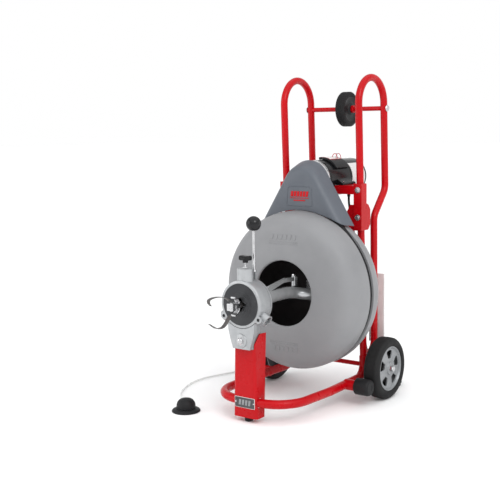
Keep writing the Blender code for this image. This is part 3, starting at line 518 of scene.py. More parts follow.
def make_power_cord():
    """One lead: down from its gland, then three layers of turns, and out to the plug."""
    down = [(GLAND_X, GLAND_Y, 0.7147), (0.0975, 0.225, 0.690), (0.104, 0.226, 0.650), (0.112, 0.233, 0.590),
            (0.118, 0.246, 0.500), (0.121, 0.262, 0.380), (0.120, 0.284, 0.260), (0.116, 0.315, 0.160),
            (0.1105, 0.350, 0.105), (0.1085, 0.375, 0.072)]
    cx, cy = 0.1525, 0.3905
    low, high = 0.0052, 0.0402
    columns = (0.0445, 0.0530, 0.0615)
    turns, shift = 4.2, 0.2
    coil = []
    for k, radius in enumerate(columns):
        start_z, end_z = (high, low) if k % 2 == 0 else (low, high)
        steps = round(turns * 20)
        for i in range(steps + 1):
            t = i / steps
            angle = math.pi - math.tau * (k * (turns + shift) + turns * t)
            coil.append((cx + radius * math.cos(angle), cy + radius * math.sin(angle),
                         start_z + (end_z - start_z) * t))
    x_plug = cx - 0.062
    path = smooth_route(down + coil[:1], 0.014)[:-1]
    path += smooth_route(coil, 0.012)
    tail = [path[-1], Vector((x_plug, 0.4030, 0.0140)), Vector((x_plug, 0.4275, 0.0120))]
    path += smooth_route(tail, 0.010)[1:]
    lead = cord_curve("power_lead", path, 0.0041, RUBBER)
    show(lead, "machine", "black_rubber", "power_cord", "power_cord_coil")
    profile = [(0, 0.7537), (0.0100, 0.7537), (0.0100, 0.7470), (0.0092, 0.7455), (0.0078, 0.7430)]
    for i in range(5):
        z, r = 0.7405 - i * 0.0050, 0.0076 - i * 0.0004
        profile += [(r, z), (r, z - 0.0030), (r - 0.0009, z - 0.0034), (r - 0.0009, z - 0.0046)]
    profile += [(0.0052, 0.7150), (0, 0.7150)]
    show(turned("cord_strain_relief", profile, PLASTIC, "Z", (GLAND_X, GLAND_Y, 0), 48), "machine",
         "black_plastic", "cord_gland")
    outline = soft_outline([(x_plug - 0.006, 0.4275, 0.001), (x_plug + 0.006, 0.4275, 0.001),
                            (x_plug + 0.008, 0.447, 0.004), (x_plug + 0.014, 0.453, 0.005),
                            (x_plug + 0.014, 0.484, 0.003), (x_plug - 0.014, 0.484, 0.003),
                            (x_plug - 0.014, 0.453, 0.005), (x_plug - 0.008, 0.447, 0.004)], 4)
    plug = soften(prism("mains_plug", outline, "XY", 0.0004, 0.0236, PLASTIC), 0.0025)
    show(plug, "machine", "black_plastic", "power_plug")
    for n, dx in enumerate((-0.0064, 0.0064)):
        blade = soften(block("plug_blade_%d" % n, (x_plug + dx - 0.0008, 0.4835, 0.012),
                             (x_plug + dx + 0.0008, 0.500, 0.018), STEEL), 0.0004)
        show(blade, "machine", "black_plastic")
    pin = soften(rod("plug_earth_pin", "Y", (x_plug, 0, 0.006), 0.0024, 0.4835, 0.5018, STEEL, 32), 0.0010)
    show(pin, "machine", "black_plastic")
    tie_path = [(cx + u, cy, v) for u, v in
                soft_outline([(0.0386, 0.0008, 0.003), (0.0666, 0.0008, 0.003), (0.0666, 0.0445, 0.003),
                              (0.0386, 0.0445, 0.003)], 5)]
    verts = []
    for dy, swell in ((-0.006, 0.0), (0.006, 0.0), (0.006, 0.0007), (-0.006, 0.0007)):
        for x, y, z in tie_path:
            out = Vector((x - cx - 0.0526, 0, z - 0.02265)).normalized() * swell
            verts.append((x - out.x, y + dy, z - out.z))
    tie = show(add("cord_tie", verts, band_faces(len(tie_path), 4), PLASTIC), "machine", "black_plastic")


make_hose()
make_power_cord()


# ---------------------------------------------------------------- frame
def front_leg_y(z):
    return FRONT_Y_AT_LOOP + (LOOP_Z - z) * LEAN


def rear_leg_y(z):
    return front_leg_y(z) + 2 * LOOP_R


def make_frame():
    for label, side in SIDES:
        x = side * TUBE_X
        crank = [((x, rear_leg_y(0.735), 0.735), 0.050), ((x, 0.301, 0.642), 0.050),
                 ((x, 0.306, 0.142), 0.045), ((x, 0.2445, 0.142), 0)]
        loop = arc((FRONT_Y_AT_LOOP + LOOP_R, LOOP_Z), LOOP_R, 180, 0, 40)
        path = [Vector((x, front_leg_y(FOOT_Z), FOOT_Z))] + [Vector((x, y, z)) for y, z in loop]
        path += rounded([(path[-1], 0)] + crank, 10)[1:]
        tube = swept("handle_tube_" + label, path, TUBE_R, RED, 40)
        show(tube, "machine", "red_paint", "frame_tube_" + label)
        for n, z in enumerate((0.742, 0.646)):
            washer = soften(ring("bracket_washer_%s_%d" % (label, n), "Y", (x, 0, z), 0.004, 0.0108,
                                 BRACKET_Y - 0.0016, BRACKET_Y - 0.0001, STEEL, 40), 0.0004)
            show(washer, "machine", "steel")
            head = soften(hexagon("bracket_bolt_%s_%d" % (label, n), "Y", (x, 0, z), 0.0082,
                                  BRACKET_Y - 0.0017, BRACKET_Y - 0.0068, STEEL), 0.0006)
            show(head, "machine", "steel")
        weld = ring("foot_weld_" + label, "Z", (x, front_leg_y(0.141) - 0.0003, 0), TUBE_R - 0.001,
                    TUBE_R + 0.0016, 0.1385, 0.1425, RED, 48)
        show(soften(weld, 0.0008), "machine", "red_paint")
    right = [((TUBE_X, front_leg_y(0.14), 0.14), 0), ((TUBE_X, 0.229, BASE_Z), 0.045),
             ((0.166, -0.02, BASE_Z), 0.30), ((0.150, BASE_FRONT_Y, BASE_Z), 0.115)]
    left = [((-p[0], p[1], p[2]), r) for p, r in reversed(right)]
    base = swept("base_loop", rounded(right + left, 14), BASE_R, RED, 40)
    show(base, "machine", "red_paint", "base_tube")
    for label, side in SIDES:
        ends = sorted((side * 0.160, side * BUMPER_IN))
        stub = soften(rod("bumper_collar_" + label, "X", (0, BUMPER_Y, BASE_Z), 0.0190, *ends, RED, 64), 0.0012)
        show(stub, "machine", "red_paint")
        inner, outer = side * (BUMPER_IN + GAP), side * BUMPER_OUT
        profile = [(0, inner), (0.0235, inner), (0.0275, inner + side * 0.0012), (0.029, inner + side * 0.0042)]
        profile += [(0.029, outer - side * 0.0110), (0.0281, outer - side * 0.0062),
                    (0.0258, outer - side * 0.0024), (0.0222, outer), (0.0100, outer),
                    (0.0085, outer - side * 0.0016), (0, outer - side * 0.0016)]
        bumper = turned("rubber_bumper_" + label, profile, RUBBER, "X", (0, BUMPER_Y, BASE_Z), 72)
        show(soften(bumper, 0.0008, 2), "machine", "black_rubber", "bumper_" + label)


def make_crossbar():
    y = rear_leg_y(CROSSBAR_Z)
    bar = rod("cross_bar", "X", (0, y, CROSSBAR_Z), CROSSBAR_R, -0.1730, 0.1730, RED, 48)
    show(soften(bar, 0.0008), "machine", "red_paint", "crossbar")
    for label, side in SIDES:
        near, far = side * (TUBE_X + TUBE_R + 0.0002), side * 0.1734
        dome = [(0, near), (0.0118, near), (0.0118, near + side * 0.0010), (0.0094, far - side * 0.0006),
                (0.0094, far), (0, far + side * 0.0012)]
        cap = turned("push_nut_" + label, dome, STEEL, "X", (0, y, CROSSBAR_Z), 48)
        show(soften(cap, 0.0004, 2), "machine", "steel")
    half = LOADER_W / 2
    tread = [(0.046, -half + 0.0025), (0.055, -half + 0.0005), (0.0605, -half + 0.0030)]
    for i in range(7):
        start = -half + 0.0050 + i * 0.0038
        tread += [(LOADER_R, start), (LOADER_R, start + 0.0024), (LOADER_R - 0.0011, start + 0.0029),
                  (LOADER_R - 0.0011, start + 0.0036)]
    tread += [(0.0605, half - 0.0030), (0.055, half - 0.0005), (0.046, half - 0.0025)]
    bore = CROSSBAR_R + GAP
    wheel = turned("loading_tyre", tread, TYRE, "X", (LOADER_X, y, CROSSBAR_Z), 96)
    show(soften(wheel, 0.0005, 2), "loader", "black_rubber", "loading_wheel")
    hub = [(bore, -half - 0.0028), (0.017, -half - 0.0028), (0.020, -half - 0.0005), (0.022, -half + 0.0030),
           (0.036, -half + 0.0050), (0.0455, -half + 0.0020), (0.0458, half - 0.0020),
           (0.036, half - 0.0050), (0.022, half - 0.0030), (0.020, half + 0.0005), (0.017, half + 0.0028),
           (bore, half + 0.0028)]
    show(soften(turned("loading_hub", hub, PLASTIC, "X", (LOADER_X, y, CROSSBAR_Z), 72), 0.0008, 2),
         "loader", "black_rubber")
    for n, (low, high) in enumerate(((LOADER_X + half + 0.0034, LOADER_X + half + 0.0120),
                                     (LOADER_X - half - 0.0120, LOADER_X - half - 0.0034))):
        collar = ring("loading_collar_%d" % n, "X", (0, y, CROSSBAR_Z), CROSSBAR_R + 0.0001, 0.0135, low, high,
                      RED, 48)
        show(soften(collar, 0.0010), "machine", "red_paint")


def make_wheels():
    axle = rod("wheel_axle", "X", (0, AXLE_Y, WHEEL_R), AXLE_R, -WHEEL_OUT - 0.0002, WHEEL_OUT + 0.0002, RED, 48)
    show(axle, "machine", "red_paint", "axle")
    for label, side in SIDES:
        body = "wheel_" + label
        centre = (side * (WHEEL_IN + WHEEL_OUT) / 2, AXLE_Y, WHEEL_R)
        half = (WHEEL_OUT - WHEEL_IN) / 2
        tread = [(RIM_R, -half + 0.0050), (0.0830, -half + 0.0012), (0.0900, -half), (0.0975, -half + 0.0010),
                 (0.1030, -half + 0.0035), (0.1062, -half + 0.0068)]
        for i in range(9):
            start = -0.0195 + i * 0.00437
            crown = WHEEL_R - 0.0014 * (abs(start + 0.0015) / 0.0195) ** 2
            tread += [(crown, start), (crown, start + 0.0029), (crown - 0.0014, start + 0.0033),
                      (crown - 0.0014, start + 0.0041)]
        tread += [(0.1062, half - 0.0068), (0.1030, half - 0.0035), (0.0975, half - 0.0010), (0.0900, half),
                  (0.0830, half - 0.0012), (RIM_R, half - 0.0050)]
        tyre = turned("ribbed_tyre_" + label, tread, TYRE, "X", centre, 144)
        show(soften(tyre, 0.0005, 2, 40), body, "tyre_rubber", "tyre_" + label)
        rim, out, web = RIM_R - GAP, side * (half - 0.006), side * (half - 0.0135)
        far = -side * (half - 0.006)
        profile = [(AXLE_R + GAP, far), (0.019, far), (0.019, web), (rim - 0.006, web), (rim - 0.006, far),
                   (rim, far), (rim, out + side * 0.0016), (rim - 0.0035, out + side * 0.0022),
                   (rim - 0.0075, out - side * 0.0040), (0.0660, out - side * 0.0042),
                   (0.0300, out - side * 0.0028), (0.0245, out - side * 0.0010), (0.0225, out + side * 0.0035),
                   (0.0150, out + side * 0.0042), (AXLE_R + GAP, out + side * 0.0042)]
        hub = turned("rim_" + label, profile, HUB_GREY, "X", centre, 96)
        windows = []
        for i in range(5):
            shape = soft_outline([(0.0355, -0.0085, 0.004), (0.0355, 0.0085, 0.004), (0.0625, 0.0215, 0.008),
                                  (0.0660, 0.0, 0.012), (0.0625, -0.0215, 0.008)], 4)
            turn = math.radians(90 + 72 * i)
            outline = [(AXLE_Y + u * math.cos(turn) - v * math.sin(turn),
                        WHEEL_R + u * math.sin(turn) + v * math.cos(turn)) for u, v in shape]
            windows.append(prism("window", outline, "YZ", centre[0] - 0.04, centre[0] + 0.04, HUB_GREY))
        show(soften(cut(hub, *windows), 0.0009, 2), body, "cast_alloy", "wheel_hub_" + label)
        low, high = sorted((centre[0] + side * 0.0005, centre[0] - side * 0.0015))
        back = ring("wheel_back_" + label, "X", (0, AXLE_Y, WHEEL_R), 0.0192, 0.0722, low, high, PLASTIC, 96)
        show(soften(back, 0.0004, 2), body, "black_plastic")
        nut = soften(hexagon("hub_nut_" + label, "X", (0, AXLE_Y, WHEEL_R), 0.0110, side * (WHEEL_OUT + 0.0005),
                             side * 0.2793, STEEL), 0.0006)
        show(nut, "machine", "steel", "axle_nut_" + label)


def make_brackets():
    for label, side in SIDES:
        plate = side_block("bracket_plate", side, (0.140, 0.172), (BRACKET_Y, 0.1868),
                           (BRACKET_LOW, BRACKET_HIGH), RED)
        flange = soft_outline([(BRACKET_Y, BRACKET_LOW, 0), (0.232, BRACKET_LOW, 0.006), (0.247, 0.618, 0.008),
                               (0.247, 0.672, 0.008), (0.232, 0.690, 0.006), (0.220, 0.694, 0.004),
                               (0.220, BRACKET_HIGH, 0.006), (BRACKET_Y, BRACKET_HIGH, 0)])
        wing = prism("wing", flange, "YZ", *sorted((side * 0.1692, side * 0.172)), RED)
        bracket = soften(unite(plate, wing), 0.0008)
        show(bracket, "machine", "red_paint", "side_bracket_" + label)
        glide = soft_outline([(side * 0.125, 0.3225, 0.0015), (side * 0.187, 0.3225, 0.0015),
                              (side * 0.187, 0.3325, 0.0045), (side * 0.125, 0.3325, 0.0045)], 5)
        strip = prism("glide_strip_" + label, glide, "XY", 0.175, 0.430, NYLON)
        show(soften(strip, 0.0015), "machine", "nylon", "glide_" + label)
        for n, z in enumerate((0.195, 0.300, 0.410)):
            screw = [(0, 0.3313), (0.0052, 0.3313), (0.0052, 0.3320), (0.0030, 0.33255), (0, 0.3323)]
            show(turned("glide_screw_%s_%d" % (label, n), screw, STEEL, "Y", (side * TUBE_X, 0, z), 32),
                 "machine", "steel")


# ---------------------------------------------------------------- drum, belt and guard
def make_drum():
    centre = (0, 0, DRUM_Z)
    low, high = GROOVE_Y
    outer = [(MOUTH_R, -0.0470), (MOUTH_R + 0.0008, -0.0530), (MOUTH_R + 0.0035, -0.0555),
             (MOUTH_R + 0.0075, -0.0560), (0.130, -0.0556), (0.150, -0.0541), (0.170, -0.0522),
             (0.186, -0.0506), (0.206, -0.0487), (0.220, -0.0472), (0.232, -0.0442), (0.242, -0.0398),
             (0.250, -0.0342), (0.257, -0.0272), (0.263, -0.0188), (0.2675, -0.0112), (0.2715, -0.0030),
             (0.2742, 0.0042), (0.2762, 0.0125), (0.2774, 0.0215), (DRUM_R, 0.0320), (DRUM_R, low),
             (GROOVE_R, low), (GROOVE_R, high), (GROOVE_R - 0.005, high)]
    inside = [(GROOVE_R - 0.005, 0.0150), (0.2535, -0.0140), (0.238, -0.0310), (0.183, -0.0450)]
    drum = turned("drum_front_shell", outer + inside, DRUM_GREY, "Y", centre, 176)
    drum.data.materials.append(DRUM_PAINTED_SHADE)
    for face in drum.data.polygons:
        x, y, z = face.center.x, face.center.y - MIDDLE_Y, face.center.z - DRUM_Z
        radial = (face.normal.x * x + face.normal.z * z) / math.hypot(x, z)
        # Inner faces seen through the mouth take the painted shade.
        if math.hypot(x, z) < GROOVE_R - 0.003 and (radial < -0.3 or face.normal.y > 0.5) and y > -0.0465:
            face.material_index = 1
        # The belt groove's faces take the painted shade, standing in for the belt's shadow.
        if y > low - 0.0005 and math.hypot(x, z) < DRUM_R - 0.001:
            face.material_index = 1
    show(soften(drum, 0.0007, 2, 40), "drum", "drum_plastic", "drum_front_half")
    rear = [(DRUM_R, high + GAP), (0.2785, 0.0930), (0.2783, 0.1010), (0.2768, 0.1110), (0.2738, 0.1215),
            (0.2690, 0.1318), (0.2620, 0.1415), (0.2540, 0.1488), (0.2420, 0.1562), (0.2250, 0.1640),
            (0.2050, 0.1693), (0.1800, 0.1730), (0.1200, 0.1741), (0.0400, 0.1750), (0.0400, 0.1700),
            (0.180, 0.1680), (0.248, 0.1440), (0.268, 0.1150), (0.268, high + GAP)]
    shell = turned("drum_rear_shell", rear, DRUM_GREY, "Y", centre, 176)
    shell.data.materials.append(DRUM_PAINTED_SHADE)
    for face in shell.data.polygons:
        # The rear shell's inner faces take the painted shade.
        if face.normal.y < -0.3 and face.center.y - MIDDLE_Y > high + 0.002:
            face.material_index = 1
    show(soften(shell, 0.0007, 2, 40), "drum", "drum_plastic", "drum_rear_half")


def make_relief():
    """Two raised marks on the drum's face, half a turn apart."""
    for n, middle in enumerate((90, 270)):
        marks = [soft_outline([(a, 0.187, 0.002), (a + 0.0125, 0.187, 0.002), (a + 0.0155, 0.204, 0.002),
                               (a + 0.0030, 0.204, 0.002)], 3)
                 for a in (-0.056 + 0.0186 * i for i in range(6))]
        marks += [soft_outline([(-0.058, r, 0.0008), (0.058, r, 0.0008), (0.058, r + 0.0024, 0.0008),
                                (-0.058, r + 0.0024, 0.0008)], 2) for r in (0.177, 0.170)]
        turn = math.radians(middle - 90)
        for m, outline in enumerate(marks):
            verts = []
            for lift in (-0.0008, 0.0015):
                for a, r in outline:
                    reach = math.hypot(a, r)
                    y = -0.0522 + (reach - 0.170) * 0.0955 - lift
                    verts.append((a * math.cos(turn) - r * math.sin(turn), y,
                                  DRUM_Z + a * math.sin(turn) + r * math.cos(turn)))
            relief = add("drum_relief_%d_%d" % (n, m), verts, prism_faces(len(outline)), DRUM_GREY)
            show(soften(relief, 0.0006, 2), "drum", "drum_plastic")


def make_wound_cable():
    pitch = 0.0115
    coil = []
    rows = 10
    for i in range(rows):
        middle = 0.0130 + pitch * (i + 0.5)
        coil += [(0.2230 + 0.0060 * (1 - math.sin(math.pi * t / 6)), middle - pitch / 2 + pitch * t / 6)
                 for t in range(6)]
    coil += [(0.229, 0.0130 + pitch * rows), (0.2440, 0.1260), (0.2555, 0.1000), (0.2555, 0.0450),
             (0.251, 0.0240), (0.236, 0.0090), (0.229, 0.0095)]
    show(turned("wound_cable", coil, DARK_STEEL, "Y", (0, 0, DRUM_Z), 144), "drum", "dark_steel", "cable_coil")


def make_drum_ribs():
    for i in range(3):
        for sign in (-1, 1):
            middle = 90 + 120 * i + 30 * sign
            rib = [(r * math.cos(math.radians(middle)) - w * math.sin(math.radians(middle)),
                    DRUM_Z + r * math.sin(math.radians(middle)) + w * math.cos(math.radians(middle)))
                   for r, w in ((0.075, -0.004), (0.205, -0.003), (0.205, 0.003), (0.075, 0.004))]
            part = prism("drum_rib_%d_%d" % (i, sign + 1), rib, "XZ", 0.1722, 0.1765, DRUM_GREY)
            show(soften(part, 0.0012), "drum", "drum_plastic")


def guard_path(centre_z, radius, slope, tip_r, curl, tip_round):
    """Half of the guard's outline and its mirror: bottom lip, rounded tip, straight side and peak."""
    a = math.radians(slope)
    start = Vector((radius * math.cos(a), centre_z + radius * math.sin(a) - DRUM_Z))
    down = Vector((math.sin(a), -math.cos(a)))
    half_b = start.dot(down)
    tip = start + down * (-half_b - math.sqrt(half_b ** 2 - start.dot(start) + tip_r ** 2))
    angle = math.atan2(tip.y, tip.x) + curl / tip_r
    lip = Vector((tip_r * math.cos(angle), tip_r * math.sin(angle)))
    before, after = (lip - tip).normalized(), (start - tip).normalized()
    reach = min(tip_round / math.tan(before.angle(after) / 2), (lip - tip).length * 0.95)
    right = [(lip.x, lip.y + DRUM_Z)]
    for i in range(9):
        t = i / 8
        p = (tip + before * reach) * (1 - t) ** 2 + tip * 2 * t * (1 - t) + (tip + after * reach) * t * t
        right.append((p.x, p.y + DRUM_Z))
    right += [(p.x, p.y + DRUM_Z) for p in (start.lerp(tip, f) for f in (0.75, 0.5, 0.25))]
    peak = arc((0, centre_z), radius, slope, 180 - slope, 32)
    return right + peak + [(-x, z) for x, z in reversed(right)]


def guard_section(y, inset=0.0):
    """The guard's outline at a depth; it widens and its peak rises towards the back."""
    f = (y - GUARD_FRONT) / GUARD_DEPTH
    return y, guard_path(0.753 + 0.0095 * f, 0.073 + 0.0125 * f - inset, 32.2 - f, GUARD_TIP_R + 0.0063 * f,
                         0.013, 0.006)


def make_guard():
    fillet = 0.021
    sections = []
    for t in range(0, 91, 15):
        inset = fillet * (1 - math.sin(math.radians(t)))
        depth = fillet * (1 - math.cos(math.radians(t)))
        sections.append(guard_section(GUARD_FRONT + depth, inset * 0.8))
    sections += [guard_section(GUARD_FRONT + GUARD_DEPTH * f) for f in (0.45, 0.65, 0.85, 1.0)]
    count = len(sections[0][1])
    verts = [(x, y, z) for y, path in sections for x, z in path]
    faces = sheet_faces(count, len(sections))
    first = sections[0][1]
    start = math.atan2(first[-1][1] - DRUM_Z, first[-1][0])
    end = math.atan2(first[0][1] - DRUM_Z, first[0][0])
    steps = 40
    base = len(verts)
    for i in range(1, steps):
        turn = start + (end - start) * i / steps
        reach = 0.2802 + 0.0036 * abs(2 * i / steps - 1) ** 8
        verts.append((reach * math.cos(turn), GUARD_FRONT, DRUM_Z + reach * math.sin(turn)))
    faces.append(list(range(count)) + list(range(base, base + steps - 1)))
    guard = add("belt_cover", verts, faces, GUARD_GREY)
    wall = guard.modifiers.new("wall", "SOLIDIFY")
    wall.thickness, wall.offset = 0.0025, -1
    wall.use_even_offset = True
    apply_modifiers(guard)
    show(soften(guard, 0.0008, 2, 50), "machine", "guard_plastic", "belt_guard")
    for label, side in SIDES:
        ear = side_block("guard_ear_" + label, side, (0.052, 0.0800), (0.1090, 0.1155), (0.771, 0.789), GUARD_GREY)
        show(soften(ear, 0.0015), "machine", "guard_plastic")
    width, low, high = 0.0615, 0.6900, 0.7600
    frame_outline = soft_outline([(-width + 0.006, low, 0.010), (width - 0.006, low, 0.010),
                                  (width * 0.80, high, 0.012), (-width * 0.80, high, 0.012)], 6)
    centre = Vector((0, (low + high) / 2))
    verts = []
    for scale, y in ((1.0, 0.0526), (0.985, 0.0508), (0.945, 0.0508), (0.93, 0.0526)):
        for p in frame_outline:
            q = centre + (Vector(p) - centre) * scale
            verts.append((q.x, y, q.y))
    border = add("guard_panel_frame", verts, band_faces(len(frame_outline), 4), GUARD_GREY)
    show(soften(border, 0.0004, 2), "machine", "guard_plastic")
    for n in range(6):
        bar = slat("mark_slat_%d" % n, -0.0365 + n * 0.0124, 0.7235, 0.0094, 0.0031, 0.0190, MARK_Y, RED)
        show(soften(bar, 0.0005, 2), "machine", "red_paint")
    for n, (half, z, tall) in enumerate(((0.0385, 0.7175, 0.0022), (0.0240, 0.7085, 0.0040))):
        bar = slat("mark_bar_%d" % n, -half, z, 2 * half, 0, tall, MARK_Y, RED)
        show(soften(bar, 0.0004, 2), "machine", "red_paint")


# ---------------------------------------------------------------- motor
def curved_plate(name, inner, outer, start, end, low, high, mat, steps=24):
    """A thin plate bent round the motor's axis between two angles."""
    outline = arc((0, SHAFT_Z), inner, start, end, steps) + arc((0, SHAFT_Z), outer, end, start, steps)
    return prism(name, outline, "XZ", low, high, mat)


def make_motor():
    shaft = (0, 0, SHAFT_Z)
    inside = MOTOR_R - 0.003
    shell = [(inside, 0.1480), (MOTOR_R - 0.0004, 0.1480), (MOTOR_R - 0.0004, 0.1540), (MOTOR_R - 0.0014, 0.1548),
             (MOTOR_R - 0.0014, 0.1572), (MOTOR_R - 0.0004, 0.1580), (MOTOR_R - 0.0004, 0.2895),
             (MOTOR_R - 0.0014, 0.2903), (MOTOR_R - 0.0014, 0.2927), (MOTOR_R - 0.0004, 0.2935),
             (MOTOR_R - 0.0004, 0.3990), (0.0662, 0.4040), (0.0644, 0.4082), (0.0612, 0.4118), (0.056, 0.4146),
             (0.048, 0.4172), (0.034, 0.4196), (0.018, 0.4206), (0, 0.4208), (0, 0.4175), (0.038, 0.4160),
             (0.058, 0.4110), (inside, 0.4010)]
    cover = turned("motor_shell", shell, MOTOR_BLACK, "Y", shaft, 120)
    show(soften(cover, 0.0004, 2, 40), "machine", "motor_paint", "motor_cover")
    for label, side in SIDES:
        foot = [(side * x, z) for x, z in
                arc((0, SHAFT_Z), MOTOR_R - 0.0012, -20, 0, 6) + [(0.0715, 0.7750), (0.090, 0.7640),
                                                                 (0.090, PLATE_Z + GAP)]]
        show(soften(prism("motor_foot_" + label, foot, "XZ", 0.195, 0.285, MOTOR_BLACK), 0.0012),
             "machine", "motor_paint")
        for n, y in enumerate((0.208, 0.272)):
            head = soften(hexagon("motor_bolt_%s_%d" % (label, n), "Z", (side * 0.0835, y, 0), 0.0048,
                                  0.7668, 0.7712, STEEL), 0.0004)
            show(head, "machine", "steel")
    bell = [(0.0100, 0.1165), (0.0180, 0.1162), (0.0200, 0.1180), (0.0520, 0.1180), (0.0540, 0.1162),
            (0.0595, 0.1162), (0.0640, 0.1185), (0.0664, 0.1228), (MOTOR_R, 0.1280), (MOTOR_R, 0.1430),
            (0.0664, 0.1440), (0.0664, 0.1477), (inside, 0.1477), (inside, 0.1250), (0.0100, 0.1250)]
    end = turned("motor_bell", bell, SHINY, "Y", shaft, 120)
    notches = [block("notch", (0.0560 * math.cos(a) - 0.004, 0.1130, SHAFT_Z + 0.0665 * math.sin(a) - 0.005),
                     (0.0760 * math.cos(a) + 0.004, 0.1215, SHAFT_Z + 0.0665 * math.sin(a) + 0.005), SHINY)
               for a in (math.radians(28), math.radians(152))]
    show(soften(cut(end, *notches), 0.0008, 2), "machine", "cast_alloy", "motor_end_plate")
    saddle = curved_plate("switch_housing", MOTOR_R + GAP, 0.0757, 31, 99, 0.1955, 0.2845, PLASTIC)
    show(soften(saddle, 0.0022, 4), "machine", "black_plastic", "switch_box")
    # The pale patch on the switch housing's top and its red rim are a painted highlight, with its pinkish fringe,
    # where the top catches the light.
    show(soften(curved_plate("switch_top_highlight_rim", 0.0755, 0.0760, 63, 97, 0.2010, 0.2790, RED), 0.0003, 2),
         "machine", "red_paint")
    show(soften(curved_plate("switch_top_highlight", 0.0757, 0.0763, 65, 95, 0.2035, 0.2765, LABEL), 0.0003, 2),
         "machine", "black_plastic")
    show(soften(curved_plate("motor_label_edge", MOTOR_R - 0.0006, 0.0672, -29, 51, 0.2985, 0.3960, PLASTIC),
                0.0002, 2), "machine", "black_plastic")
    show(soften(curved_plate("motor_label", MOTOR_R - 0.0004, 0.0675, -26.5, 48.5, 0.3020, 0.3925, LABEL),
                0.0002, 2), "machine", "black_plastic")
    toggle = (0.0235, 0.262, 0.8523)
    bat = [(0, 0.0012), (0.0022, 0.0012), (0.0023, 0.0050), (0.0028, 0.0090), (0.0035, 0.0130),
           (0.0036, 0.0150), (0.0030, 0.0170), (0.0016, 0.0177), (0, 0.0178)]
    show(turned("switch_bat", bat, STEEL, "Z", toggle, 40), "switch_lever", "steel", "toggle_switch")
    collar = [(0.0030, -0.0010), (0.0064, -0.0010), (0.0064, 0.0012), (0.0050, 0.0026), (0.0030, 0.0026)]
    show(soften(turned("switch_collar", collar, STEEL, "Z", toggle, 48), 0.0004, 2), "machine", "steel")
    for n, dy in enumerate((-0.0125, 0.0125)):
        arch = [(toggle[0] + 0.0105 * math.cos(math.radians(t)), toggle[1] + dy,
                 0.8500 + 0.0165 * math.sin(math.radians(t))) for t in range(0, 181, 12)]
        show(swept("switch_guard_%d" % n, arch, 0.0013, RED, 16), "machine", "red_paint")


# ---------------------------------------------------------------- post, yoke and head
def make_post():
    bend = 0.0095
    levels = [POST_Z + (0.3000 - POST_Z) * i / 12 for i in range(13)]
    verts, sections = [], []
    for z in levels:
        half = 0.048 - 0.0066 * (z - POST_Z) / (POST_TOP - POST_Z)
        rear = -0.238 + 0.025 * (z - POST_Z) / (0.2945 - POST_Z)
        right = [(half, rear)] + [(half - bend + bend * math.cos(math.radians(-t)),
                                   POST_Y + bend + bend * math.sin(math.radians(-t))) for t in range(0, 91, 10)]
        sections.append(right + [(-x, y) for x, y in reversed(right)])
    for z, section in zip(levels, sections):
        verts += [(x, y, z) for x, y in section]
    post = add("folded_post", verts, sheet_faces(len(sections[0]), len(levels)), RED)
    bm = bmesh.new()
    bm.from_mesh(post.data)
    if sum(f.normal.x * f.calc_center_median().x for f in bm.faces) < 0:
        bmesh.ops.reverse_faces(bm, faces=bm.faces)
    bm.to_mesh(post.data)
    bm.free()
    wall = post.modifiers.new("wall", "SOLIDIFY")
    wall.thickness, wall.offset = SHEET, -1
    apply_modifiers(post)
    above = soft_outline([(POST_Y - 0.02, 0.262, 0), (POST_Y, 0.262, 0.003), (-0.247, 0.2965, 0.010),
                          (-0.200, 0.2937, 0), (-0.200, 0.32, 0), (POST_Y - 0.02, 0.32, 0)], 5)
    notch = block("notch", (-0.0385, POST_Y - 0.01, POST_TOP), (0.0385, -0.27, 0.31), RED)
    base_hole = rod("slot", "X", (0, BASE_FRONT_Y, BASE_Z), BASE_R + 0.0012, -0.06, 0.06, RED, 48)
    cut(post, prism("above", above, "YZ", -0.07, 0.07, RED), notch, base_hole)
    show(soften(post, 0.0007, 2, 45), "machine", "red_paint", "front_post")
    floor = soften(block("post_floor", (-0.0450, POST_Y + 0.003, POST_Z), (0.0450, -0.2385, POST_Z + SHEET), RED),
                   0.0007)
    show(floor, "machine", "red_paint")
    foot = [(0, 0), (0.0100, 0), (0.0128, 0.0008), (0.0143, 0.0030), (0.0144, 0.0080), (0.0136, 0.0130),
            (0.0120, POST_Z - GAP), (0, POST_Z - GAP)]
    show(turned("rubber_foot_pad", foot, RUBBER, "Z", (0, -0.259, 0), 64), "machine", "black_rubber", "rubber_foot")
    low, high, half = 0.0490, 0.0850, 0.0405
    for name, inset, front, mat, slot in (("name_plate_edge", 0.0, 0.0010, LABEL, "steel"),
                                          ("name_plate", 0.0012, 0.0014, PLATE_GREY, "dark_steel")):
        outline = soft_outline([(-half + inset, low + inset, 0.003), (half - inset, low + inset, 0.003),
                                (half - inset, high - inset, 0.003), (-half + inset, high - inset, 0.003)], 4)
        plate = prism(name, outline, "XZ", POST_Y - front, POST_Y + 0.0004, mat)
        show(soften(plate, 0.0003, 2), "machine", slot)
    for n, x in enumerate((-0.0360, 0.0360)):
        rivet = [(0, POST_Y - 0.0028), (0.0012, POST_Y - 0.0027), (0.0024, POST_Y - 0.0021),
                 (0.0030, POST_Y - 0.0012), (0, POST_Y - 0.0012)]
        show(turned("plate_rivet_%d" % n, rivet, STEEL, "Y", (x, 0, 0.067), 32), "machine", "steel")
    for n in range(4):
        bar = slat("plate_slat_%d" % n, -0.0245 + n * 0.0128, 0.0580, 0.0085, 0.0025, 0.0185,
                   (POST_Y - 0.0018, POST_Y - 0.0013), HUB_GREY)
        show(soften(bar, 0.0002, 2), "machine", "steel")


